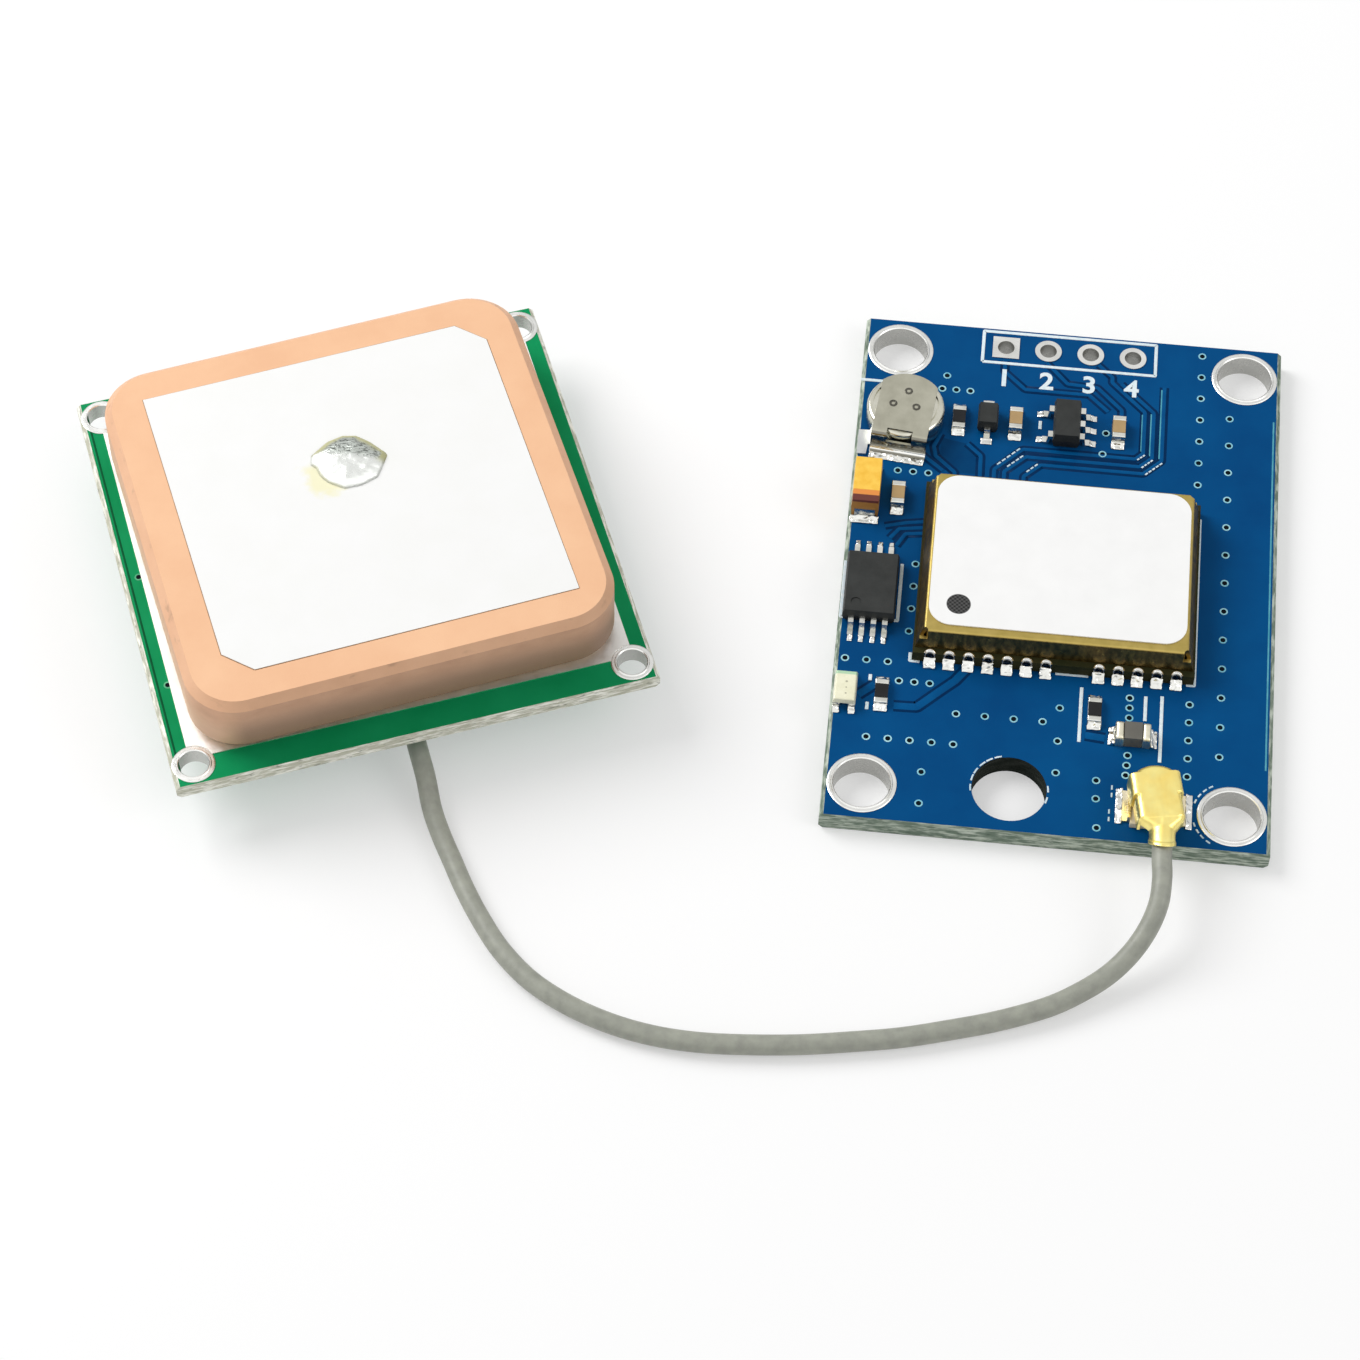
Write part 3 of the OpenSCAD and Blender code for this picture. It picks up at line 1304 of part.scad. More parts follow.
// Cap of solder over the head of the feed pin, part of a ball
module feed_solder() color("lightgray") at_feed(feed_head_z) {
  base_r = feed_solder_d / 2;
  ball_r = (base_r * base_r + feed_solder_h * feed_solder_h) / (2 * feed_solder_h);
  span = asin(base_r / ball_r);
  dome = [
    for (i = [0:bend_steps])
      let (a = span * (1 - i / bend_steps))
      [ball_r * sin(a), ball_r * cos(a) - ball_r + feed_solder_h]
  ];
  head = [[0, feed_head_t], [feed_head_d / 2, feed_head_t], [feed_head_d / 2, 0]];
  rotate_extrude() polygon(concat(head, dome));
}

// Amplifier under the antenna's board

module antenna_can() color("lightgray") at_antenna() difference() {
  linear_extrude(can_h) round_rect(can_w, can_l, can_r);
  translate([0, 0, can_t])
    linear_extrude(can_h) round_rect(can_w - 2 * can_t, can_l - 2 * can_t, can_r - can_t);
  translate([0, -can_l / 2, joint_axis_z - cable_d / 2 - notch_clear])
    slab([cable_d + 2 * notch_clear, 4 * can_t, can_h]);
}

module amplifier_body() color("dimgray") under_antenna(amplifier_at)
  translate([0, 0, body_lift]) moulded_body(amplifier_w, amplifier_l, amplifier_h, body_draft);

module amplifier_leads() color("silver") under_antenna(amplifier_at)
  for (a = [-90, 90])
    rotate(a) lead_row(
      amplifier_rows, amplifier_pitch, amplifier_w / 2, amplifier_h, amplifier_reach, amplifier_lead_w
    );

module antenna_filter() color("tan") under_antenna(filter_at) {
  slab([filter_w, filter_w, filter_h - filter_lid_t]);
  slab([filter_w - 2 * filter_lid_step, filter_w - 2 * filter_lid_step, filter_h]);
}

// Solder that holds the end of the cable to the underside of the antenna's board
module cable_joint() color("lightgray") at_antenna() translate([0, joint_face_y, joint_axis_z]) {
  rotate([-90, 0, 0]) cylinder(d = joint_d, h = joint_l);
  translate([0, joint_l / 2, 0]) slab([joint_d, joint_l, antenna_board_z - joint_axis_z]);
}

receiver_board();
mounting_eyelets();
header_pads();
module_carrier();
module_shield();
module_label();
module_solder();
receiver_chip();
reference_crystal();
band_filter();
backup_cell();
cell_upper_tab();
cell_lower_tab();
tantalum_body();
tantalum_terminals();
capacitor_bodies();
capacitor_ends();
resistor_bodies();
resistor_coats();
resistor_ends();
inductor_core();
inductor_ends();
led_base();
led_lens();
led_contacts();
diode_body();
diode_leads();
regulator_body();
regulator_leads();
memory_body();
memory_leads();
part_solder();
socket_base();
socket_ring();
socket_pin();
plug_shell();
plug_insulator();
plug_contact();
antenna_cable();
antenna_board();
antenna_eyelets();
antenna_ground();
adhesive_pad();
ceramic_patch();
patch_electrode();
feed_pin();
feed_solder();
antenna_can();
amplifier_body();
amplifier_leads();
antenna_filter();
cable_joint();
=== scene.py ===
import math

import bmesh
import bpy
from mathutils import Matrix, Quaternion, Vector, geometry, noise


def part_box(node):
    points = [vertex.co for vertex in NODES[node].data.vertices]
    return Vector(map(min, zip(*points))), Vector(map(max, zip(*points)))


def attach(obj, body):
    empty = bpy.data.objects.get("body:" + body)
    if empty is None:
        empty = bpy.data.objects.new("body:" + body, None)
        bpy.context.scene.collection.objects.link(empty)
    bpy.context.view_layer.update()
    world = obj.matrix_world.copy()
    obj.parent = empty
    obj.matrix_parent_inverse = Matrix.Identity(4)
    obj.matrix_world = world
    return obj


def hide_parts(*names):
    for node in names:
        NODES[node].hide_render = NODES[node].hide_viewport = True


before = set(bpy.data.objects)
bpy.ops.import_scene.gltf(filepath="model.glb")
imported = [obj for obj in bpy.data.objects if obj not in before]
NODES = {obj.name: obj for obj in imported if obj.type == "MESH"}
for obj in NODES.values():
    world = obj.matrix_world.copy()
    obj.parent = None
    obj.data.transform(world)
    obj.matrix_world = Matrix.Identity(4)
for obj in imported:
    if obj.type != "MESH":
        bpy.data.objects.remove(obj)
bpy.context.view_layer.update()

MM = 0.001
BODY = "root"


def metres(point):
    """A point given in millimetres, in metres."""
    return Vector(point) * MM


def low(node):
    """Lowest corner of a CAD node, in millimetres."""
    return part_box(node)[0] / MM


def high(node):
    """Highest corner of a CAD node, in millimetres."""
    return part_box(node)[1] / MM


def middle(node):
    """Centre of a CAD node's box, in millimetres."""
    return (low(node) + high(node)) / 2


# Camera, at the photograph's angle
CAMERA_AT = (-10.29, -136.69, 188.53)
CAMERA_AIM = (-21.14, -8.80, 0.0)
CAMERA_ROLL = 1.17
CAMERA_LENS = 105.78


def add_camera():
    """The camera looks from CAMERA_AT to CAMERA_AIM, turned a little about its own axis."""
    data = bpy.data.cameras.new("camera")
    data.lens = CAMERA_LENS
    data.sensor_width = 36
    data.clip_start = 0.01
    camera = bpy.data.objects.new("camera", data)
    bpy.context.scene.collection.objects.link(camera)
    look = metres(CAMERA_AIM) - metres(CAMERA_AT)
    camera.location = metres(CAMERA_AT)
    camera.rotation_mode = "QUATERNION"
    roll = Quaternion((0, 0, 1), math.radians(CAMERA_ROLL))
    camera.rotation_quaternion = look.to_track_quat("-Z", "Y") @ roll
    bpy.context.scene.camera = camera


# Coaxial lead, from the antenna's edge along the table and up to the plug
LEAD_D = 1.13
LEAD_ROUTE = [
    (-36.8, -11.6, 2.2), (-36.0, -13.6, 2.15), (-35.3, -15.7, 1.8), (-34.5, -17.7, 1.3),
    (-33.9, -19.5, 0.85), (-33.2, -21.0, 0.62), (-32.4, -22.5, 0.57), (-31.5, -24.2, 0.57),
    (-30.4, -26.0, 0.57), (-29.0, -27.9, 0.57), (-27.2, -29.6, 0.57), (-25.0, -30.9, 0.57),
    (-22.6, -31.8, 0.57), (-20.2, -32.3, 0.57), (-17.7, -32.45, 0.57), (-15.0, -32.3, 0.57),
    (-12.3, -32.0, 0.57), (-9.7, -31.55, 0.57), (-7.0, -31.0, 0.57), (-4.4, -30.25, 0.57),
    (-1.8, -29.4, 0.58), (0.8, -28.3, 0.65), (2.6, -27.2, 0.8), (4.0, -26.1, 1.05),
    (5.1, -24.9, 1.5), (5.9, -23.6, 2.05), (6.35, -22.3, 2.6), (6.45, -20.9, 2.9),
    (6.385, -19.7, 2.955), (6.358, -18.15, 2.955),
]


def add_lead():
    """One smooth curve through the route's points, round in section."""
    data = bpy.data.curves.new("coax_lead", "CURVE")
    data.dimensions = "3D"
    data.bevel_depth = 1.0
    data.bevel_resolution = 6
    data.resolution_u = 8
    data.use_fill_caps = True
    spline = data.splines.new("BEZIER")
    spline.bezier_points.add(len(LEAD_ROUTE) - 1)
    last = len(LEAD_ROUTE) - 1
    for i, knot in enumerate(spline.bezier_points):
        reach = (metres(LEAD_ROUTE[min(i + 1, last)]) - metres(LEAD_ROUTE[max(i - 1, 0)])) / 6
        knot.co = metres(LEAD_ROUTE[i])
        knot.radius = LEAD_D / 2 * MM
        knot.handle_left = knot.co - reach
        knot.handle_right = knot.co + reach
    lead = bpy.data.objects.new("coax_lead", data)
    bpy.context.scene.collection.objects.link(lead)
    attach(lead, BODY)
    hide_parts("antenna_cable")
    return lead


# Node trees: values that can be added and multiplied, and one way to add any node


class Value:
    """A socket of a node tree. Arithmetic on it adds Math nodes."""

    def __init__(self, tree, socket):
        self.tree = tree
        self.socket = socket

    def __add__(self, other):
        return self.tree.math("ADD", self, other)

    def __sub__(self, other):
        return self.tree.math("SUBTRACT", self, other)

    def __rsub__(self, other):
        return self.tree.math("SUBTRACT", other, self)

    def __mul__(self, other):
        return self.tree.math("MULTIPLY", self, other)


class Tree:
    """A node tree that is written as expressions."""

    def __init__(self, tree):
        self.tree = tree

    def node(self, kind, settings=None, inputs=None, out=0):
        """Adds a node, with its settings first and then the values or links of its sockets."""
        made = self.tree.nodes.new(kind)
        for name, value in (settings or {}).items():
            setattr(made, name, value)
        for key, value in (inputs or {}).items():
            if isinstance(value, Value):
                self.tree.links.new(value.socket, made.inputs[key])
            else:
                made.inputs[key].default_value = value
        return Value(self, made.outputs[out])

    def math(self, operation, *values):
        """A Math node."""
        return self.node("ShaderNodeMath", {"operation": operation}, dict(enumerate(values)))

    def vector(self, operation, *values, out=0):
        """A Vector Math node."""
        return self.node("ShaderNodeVectorMath", {"operation": operation},
                         dict(enumerate(values)), out)


def srgb(red, green, blue):
    """A colour written as it looks on a screen, 0 to 255, as the shader needs it."""
    def linear(part):
        share = part / 255
        return share / 12.92 if share <= 0.04045 else ((share + 0.055) / 1.055) ** 2.4
    return (linear(red), linear(green), linear(blue), 1.0)


class Finish(Tree):
    """A surface finish whose patterns are measured in millimetres on the object."""

    def __init__(self, name):
        self.material = bpy.data.materials.new(name)
        self.material.use_nodes = True
        super().__init__(self.material.node_tree)
        self.shader = self.tree.nodes["Principled BSDF"]
        spot = self.node("ShaderNodeTexCoord", out="Object")
        self.spot = self.vector("MULTIPLY", spot, (1 / MM, 1 / MM, 1 / MM))

    def set(self, sockets):
        """Sets or links the shader's own sockets."""
        for name, value in sockets.items():
            if isinstance(value, Value):
                self.tree.links.new(value.socket, self.shader.inputs[name])
            else:
                self.shader.inputs[name].default_value = value
        return self.material

    def axis(self, letter):
        """One coordinate of the surface point, in millimetres."""
        return self.node("ShaderNodeSeparateXYZ", {}, {0: self.spot}, letter)

    def facing(self, letter):
        """One part of the surface's outward direction."""
        normal = self.node("ShaderNodeNewGeometry", out="Normal")
        return self.node("ShaderNodeSeparateXYZ", {}, {0: normal}, letter)

    def grain(self, size, detail=2.0, stretch=(1, 1, 1)):
        """Soft noise from 0 to 1, with blotches of about that size."""
        at = self.vector("DIVIDE", self.spot, tuple(size * part for part in stretch))
        return self.node("ShaderNodeTexNoise", {},
                         {"Vector": at, "Scale": 1.0, "Detail": detail, "Roughness": 0.55}, "Fac")

    def step(self, value, start, end):
        """Rises smoothly from 0 at start to 1 at end."""
        return self.node("ShaderNodeMapRange", {"interpolation_type": "SMOOTHSTEP"},
                         {0: value, 1: start, 2: end, 3: 0.0, 4: 1.0})

    def spread(self, value, bottom, top):
        """Maps noise round its middle onto a range."""
        return self.node("ShaderNodeMapRange", {}, {0: value, 1: 0.3, 2: 0.7, 3: bottom, 4: top})

    def cloud(self, *grain):
        """Noise as grain makes it, spread over the whole range from 0 to 1."""
        return self.spread(self.grain(*grain), 0.0, 1.0)

    def levelness(self):
        """1 on level faces, up or down, and 0 on walls."""
        return self.math("ABSOLUTE", self.facing("Z"))

    def mix(self, share, first, second):
        """Colour that goes from the first to the second."""
        return self.node("ShaderNodeMix", {"data_type": "RGBA"}, {0: share, 6: first, 7: second}, 2)

    def distance(self, centre):
        """Distance from an upright line through a point, in millimetres."""
        flat = self.vector("MULTIPLY", self.spot, (1, 1, 0))
        return self.vector("DISTANCE", flat, (centre[0], centre[1], 0), out="Value")

    def bump(self, height, depth):
        """Normal for a surface raised by height times depth, in millimetres."""
        return self.node("ShaderNodeBump", {}, {"Height": height, "Distance": depth * MM, "Strength": 1.0})


# Finishes

# Mirror strength of solder mask and of the label's film
MASK_SHEEN = 0.045
LABEL_SHEEN = 0.2

# Plain locating hole of the receiver board, in millimetres
HOLE_AT = (-2.1, -15.05)
HOLE_R = 2.1


def laminate(name, lacquer, lacquer_dark, edge, edge_dark, hole=None):
    """Lacquered circuit board: glossy faces, sawn edges with pale fibres, painted shade down the bore
    where given.
    """
    f = Finish(name)
    face = f.step(f.levelness(), 0.75, 0.9)
    cloud = f.cloud(4.0, 3.0)
    top = f.mix(cloud, lacquer_dark, lacquer)
    fibre = f.grain(0.12, 3.0, (9, 9, 1))
    chips = f.grain(0.35, 4.0, (2.5, 2.5, 1))
    streaks = f.step(fibre * 0.6 + chips * 0.4, 0.42, 0.62)
    side = f.mix(streaks, edge_dark, edge)
    dashes = f.step(f.grain(0.22, 2.0, (3, 3, 0.8)), 0.62, 0.70)
    side = f.mix(dashes * 0.5, side, srgb(70, 80, 72))
    if hole is not None:
        # Painted shade: the sawn laminate darkens toward the hole's bore, where shade falls down its wall.
        near = f.step(f.distance(hole), HOLE_R + 0.3, HOLE_R)
        side = f.mix(near * 0.95, side, srgb(16, 20, 17))
    peel = f.grain(0.5, 2.0)
    relief = f.bump(peel * face * 0.25 + (1 - face) * streaks, 0.03)
    shine = face * f.spread(f.grain(1.5), -0.44, -0.36) + 0.78
    return f.set({"Base Color": f.mix(face, side, top), "Roughness": shine, "Normal": relief,
                  "Specular IOR Level": MASK_SHEEN})


def lacquer(name, colour, other, rough=0.36):
    """Lacquer over a thin form on a board, such as a copper track."""
    f = Finish(name)
    cloud = f.cloud(0.8)
    shine = f.spread(f.grain(0.4), rough - 0.05, rough + 0.05)
    return f.set({"Base Color": f.mix(cloud, colour, other), "Roughness": shine,
                  "Normal": f.bump(f.grain(0.2), 0.005), "Specular IOR Level": MASK_SHEEN})


def metal(name, colour, dark, rough, grain=0.4, stretch=(1, 1, 1), dent=0.006):
    """Bare or plated metal with faint dents, drawn lines and dull patches."""
    f = Finish(name)
    dull = f.cloud(1.2, 3.0)
    fine = f.grain(grain, 3.0, stretch)
    shine = f.spread(fine, rough[0], rough[1])
    return f.set({"Base Color": f.mix(dull, dark, colour), "Metallic": 1.0,
                  "Roughness": shine, "Normal": f.bump(fine, dent)})


def ceramic(name, colour, dark):
    """Fired body with a fine grain."""
    f = Finish(name)
    powder = f.grain(0.06, 2.0)
    return f.set({"Base Color": f.mix(f.cloud(1.6, 4.0), dark, colour),
                  "Roughness": f.spread(powder, 0.44, 0.56), "Normal": f.bump(powder, 0.004)})


def moulding(name, colour, dark, rough=0.55, sheen=0.5):
    """Moulded plastic or epoxy with a spark-eroded texture."""
    f = Finish(name)
    skin = f.grain(0.07, 2.0)
    cloud = f.cloud(0.9, 3.0)
    shine = f.spread(skin, rough - 0.07, rough + 0.07)
    return f.set({"Base Color": f.mix(cloud, dark, colour), "Roughness": shine,
                  "Normal": f.bump(skin, 0.006), "Specular IOR Level": sheen})


def tantalum_epoxy():
    """Yellow epoxy, with an orange band, painted shade on the end's walls and a thin dark line at the
    marked end.
    """
    f = Finish("tantalum_epoxy")
    front = low("tantalum_body").y
    top = high("tantalum_body").z
    along = f.axis("Y") + (f.grain(0.3) - 0.5) * 0.05
    cloud = f.cloud(0.5, 3.0)
    yellow = f.mix(cloud, srgb(242, 186, 52), srgb(252, 206, 82))
    band = f.step(along, front + 0.86, front + 0.82)
    orange = f.mix(band, yellow, srgb(226, 140, 58))
    # Painted shade: the walls of the marked end are darker than its top.
    end = f.step(f.facing("Z"), 0.75, 0.55) * band
    tone = f.mix(end, orange, srgb(168, 116, 44))
    fold = f.step(along, front + 0.50, front + 0.44) * f.step(f.axis("Z"), top - 0.22, top - 0.16)
    tone = f.mix(fold, tone, srgb(96, 36, 22))
    skin = f.grain(0.08, 2.0)
    return f.set({"Base Color": tone, "Roughness": f.spread(skin, 0.42, 0.56),
                  "Normal": f.bump(skin, 0.008)})


def lamp_moulding():
    """Milky lens, with a green strip of laminate showing at the far end and three specks of the die."""
    f = Finish("lamp_moulding")
    far = high("led_lens").y
    cloud = f.cloud(0.6, 3.0)
    milk = f.mix(cloud, srgb(232, 230, 198), srgb(244, 242, 214))
    strip = f.step(f.axis("Y"), far - 0.34, far - 0.26) * f.step(f.axis("Y"), far - 0.05, far - 0.1)
    tone = f.mix(strip * 0.75, milk, srgb(150, 205, 165))
    centre = middle("led_lens")
    for back, wide in ((0.25, 0.09), (-0.15, 0.06), (-0.55, 0.07)):
        speck = f.step(f.distance((centre.x + 0.05, centre.y + back)), wide, wide * 0.6)
        tone = f.mix(speck * 0.6, tone, srgb(120, 116, 96))
    return f.set({"Base Color": tone, "Roughness": f.spread(f.grain(0.2), 0.2, 0.3),
                  "Normal": f.bump(f.grain(0.3), 0.004), "Coat Weight": 0.3})


def patch_ceramic():
    """Pressed peach ceramic: powdery top, scuffed rims, browner walls with painted shade on the front
    walls that deepens toward the bottom, a painted highlight along the lower lip.
    """
    f = Finish("patch_ceramic")
    top = high("ceramic_patch").z
    up = f.step(f.facing("Z"), 0.55, 0.9)
    cloud = f.cloud(3.0, 4.0)
    face = f.mix(cloud, srgb(236, 184, 143), srgb(242, 193, 152))
    wall = f.mix(f.cloud(0.9, 4.0, (2, 2, 1)), srgb(206, 158, 126), srgb(222, 174, 140))
    lower = f.step(f.axis("Z"), top - 0.7, top - 2.8)
    wall = f.mix(lower * 0.6, wall, srgb(226, 188, 158))
    # Painted shade on the front walls, deeper toward the bottom.
    front = f.step(f.facing("X"), -0.25, 0.35) * f.step(f.facing("Y"), 0.35, -0.2)
    wall = f.mix(front * (lower * 0.45 + 0.33), wall, srgb(124, 97, 79))
    bottom = low("ceramic_patch").z
    # Painted highlight along the lower lip, where the bevel catches light.
    lip_highlight = f.step(f.axis("Z"), bottom + 0.14, bottom + 0.05)
    wall = f.mix(lip_highlight * 0.8, wall, srgb(216, 184, 152))
    tone = f.mix(up, wall, face)
    rim = f.step(f.axis("Z"), top - 0.5, top - 0.1) * (1 - up)
    scuff = f.step(f.grain(0.5, 4.0, (3, 3, 1)), 0.60, 0.72)
    tone = f.mix(rim * scuff * 0.55, tone, srgb(120, 92, 76))
    powder = f.grain(0.09, 3.0)
    return f.set({"Base Color": tone, "Roughness": f.spread(powder, 0.48, 0.62),
                  "Normal": f.bump(powder, 0.008)})


def silver_electrode(feed):
    """Fired silver paste, matt white, with a yellow flux stain beside the feed joint."""
    f = Finish("silver_electrode")
    weave = f.grain(0.25, 3.0)
    paste = f.mix(f.cloud(2.5, 4.0), srgb(240, 240, 238), srgb(242, 242, 241))
    ragged = (f.grain(0.7, 3.0) - 0.5) * 1.4
    far = f.distance((feed[0] - 0.9, feed[1] - 1.25)) + ragged
    stain = f.step(far, 1.7, 0.9)
    tone = f.mix(stain * 0.6, paste, srgb(238, 232, 166))
    return f.set({"Base Color": tone, "Roughness": f.spread(weave, 0.5, 0.62),
                  "Normal": f.bump(weave, 0.002)})


# Middle of the round mark for the first contact on the label
LABEL_DOT = (-5.74, -4.52)


def label_film():
    """White film label, very slightly wavy, with the round mark for the first contact."""
    f = Finish("label_film")
    tone = f.mix(f.cloud(2.0, 3.0), srgb(243, 243, 242), srgb(247, 247, 246))
    across = f.math("SINE", (f.axis("X") + f.axis("Y")) * 24.0)
    along = f.math("SINE", (f.axis("X") - f.axis("Y")) * 24.0)
    hatch = (across + along) * 0.25 + 0.5
    dot = f.step(f.distance(LABEL_DOT), 0.72, 0.66)
    tone = f.mix(dot * (hatch * 0.10 + 0.90), tone, srgb(12, 12, 12))
    return f.set({"Base Color": tone, "Roughness": f.spread(f.grain(0.5), 0.42, 0.5),
                  "Normal": f.bump(f.grain(1.2), 0.01), "Specular IOR Level": LABEL_SHEEN})


def cable_jacket():
    """Extruded grey jacket with a faint dusty bloom and drawn lines."""
    f = Finish("cable_jacket")
    dust = f.cloud(0.7, 4.0)
    tone = f.mix(dust, srgb(143, 145, 135), srgb(161, 163, 151))
    skin = f.grain(0.12, 3.0)
    return f.set({"Base Color": tone, "Roughness": f.spread(skin, 0.4, 0.54),
                  "Normal": f.bump(skin, 0.006)})


def shield_plate():
    """Gold-toned plated sheet, with painted shade turning the walls a streaked brown and painted glints
    speckling them.
    """
    f = Finish("shield_plate")
    wall = f.step(f.levelness(), 0.7, 0.3)
    streak = f.grain(0.3, 3.0, (0.8, 0.8, 2))
    gold = f.mix(f.cloud(0.9, 3.0), srgb(172, 152, 82), srgb(190, 168, 98))
    # Painted shade: the walls are a darker, streaked brown than the flat top.
    wall_shade = f.mix(f.step(streak, 0.35, 0.7), srgb(122, 100, 58), srgb(150, 126, 72))
    # Painted glints: bright gold specks on the walls.
    wall_glints = f.step(f.grain(0.22, 2.0), 0.68, 0.76)
    walls = f.mix(wall_glints * 0.7, wall_shade, srgb(214, 186, 104))
    return f.set({"Base Color": f.mix(wall, gold, walls), "Metallic": 1.0,
                  "Roughness": f.spread(streak, 0.34, 0.46), "Normal": f.bump(streak, 0.004)})


def contact_gold():
    """Gold-plated sheet with soft press creases."""
    f = Finish("contact_gold")
    crease = f.grain(0.8, 2.0, (1, 2.5, 1))
    tone = f.mix(f.cloud(1.1, 3.0), srgb(252, 226, 130), srgb(255, 240, 154))
    return f.set({"Base Color": tone, "Metallic": 1.0, "Roughness": f.spread(f.grain(0.3), 0.3, 0.42),
                  "Normal": f.bump(crease, 0.04)})


def tab_steel():
    """Rolled steel: brushed on the flat, painted shade and a glossier finish down the bend, tinned at the
    foot.
    """
    f = Finish("tab_steel")
    flat = f.step(f.levelness(), 0.75, 0.95)
    brushed = f.grain(0.12, 3.0, (1, 6, 1))
    tone = f.mix(f.cloud(1.2, 3.0), srgb(168, 166, 150), srgb(186, 184, 168))
    # Painted shade: the bend and walls are darker than the flat.
    tone = f.mix(flat, srgb(124, 122, 112), tone)
    board = low("cell_upper_tab").z
    foot = f.step(f.axis("Z"), board + 0.4, board + 0.25)
    tone = f.mix(foot, tone, srgb(234, 234, 230))
    shine = f.spread(brushed, 0.10, 0.16) + flat * (1 - foot) * 0.30
    return f.set({"Base Color": tone, "Metallic": 1.0, "Roughness": shine,
                  "Normal": f.bump(brushed, 0.005)})


def tinned_copper():
    """Tinned rings and pads, with painted shade greying the walls of their bores."""
    f = Finish("tinned_copper")
    flat = f.step(f.levelness(), 0.3, 0.7)
    ring = f.mix(f.cloud(1.2, 3.0), srgb(218, 218, 214), srgb(240, 240, 237))
    fine = f.grain(0.4, 3.0)
    # Painted shade: walls, down the bores, are greyer than the level faces.
    return f.set({"Base Color": f.mix(flat, srgb(186, 186, 182), ring), "Metallic": 1.0,
                  "Roughness": f.spread(fine, 0.24, 0.34), "Normal": f.bump(fine, 0.003)})


def feed_joint_solder(middle_y):
    """Solder of the feed joint: white metal, painted shade in the creases, a beige rim of flux along the
    rear.
    """
    f = Finish("feed_joint_solder")
    wrinkle = f.grain(0.35, 4.0, (1.6, 0.7, 1))
    crease = f.step(f.math("ABSOLUTE", wrinkle - 0.5), 0.045, 0.0)
    rear = f.step(f.axis("Y"), middle_y - 0.1, middle_y + 0.5)
    rim = f.step(f.facing("Z"), 0.95, 0.84)
    tone = f.mix(rear * 0.7, srgb(240, 242, 238), srgb(182, 190, 182))
    # Painted shade in the creases of the rear half.
    tone = f.mix(crease * rear * 0.9, tone, srgb(66, 70, 64))
    tone = f.mix(rim * rear, tone, srgb(188, 186, 140))
    shine = f.spread(f.grain(0.3), 0.22, 0.34) + rim * 0.2
    return f.set({"Base Color": tone, "Metallic": 1 - rim * rear * 0.8, "Roughness": shine,
                  "Normal": f.bump(wrinkle, 0.05)})


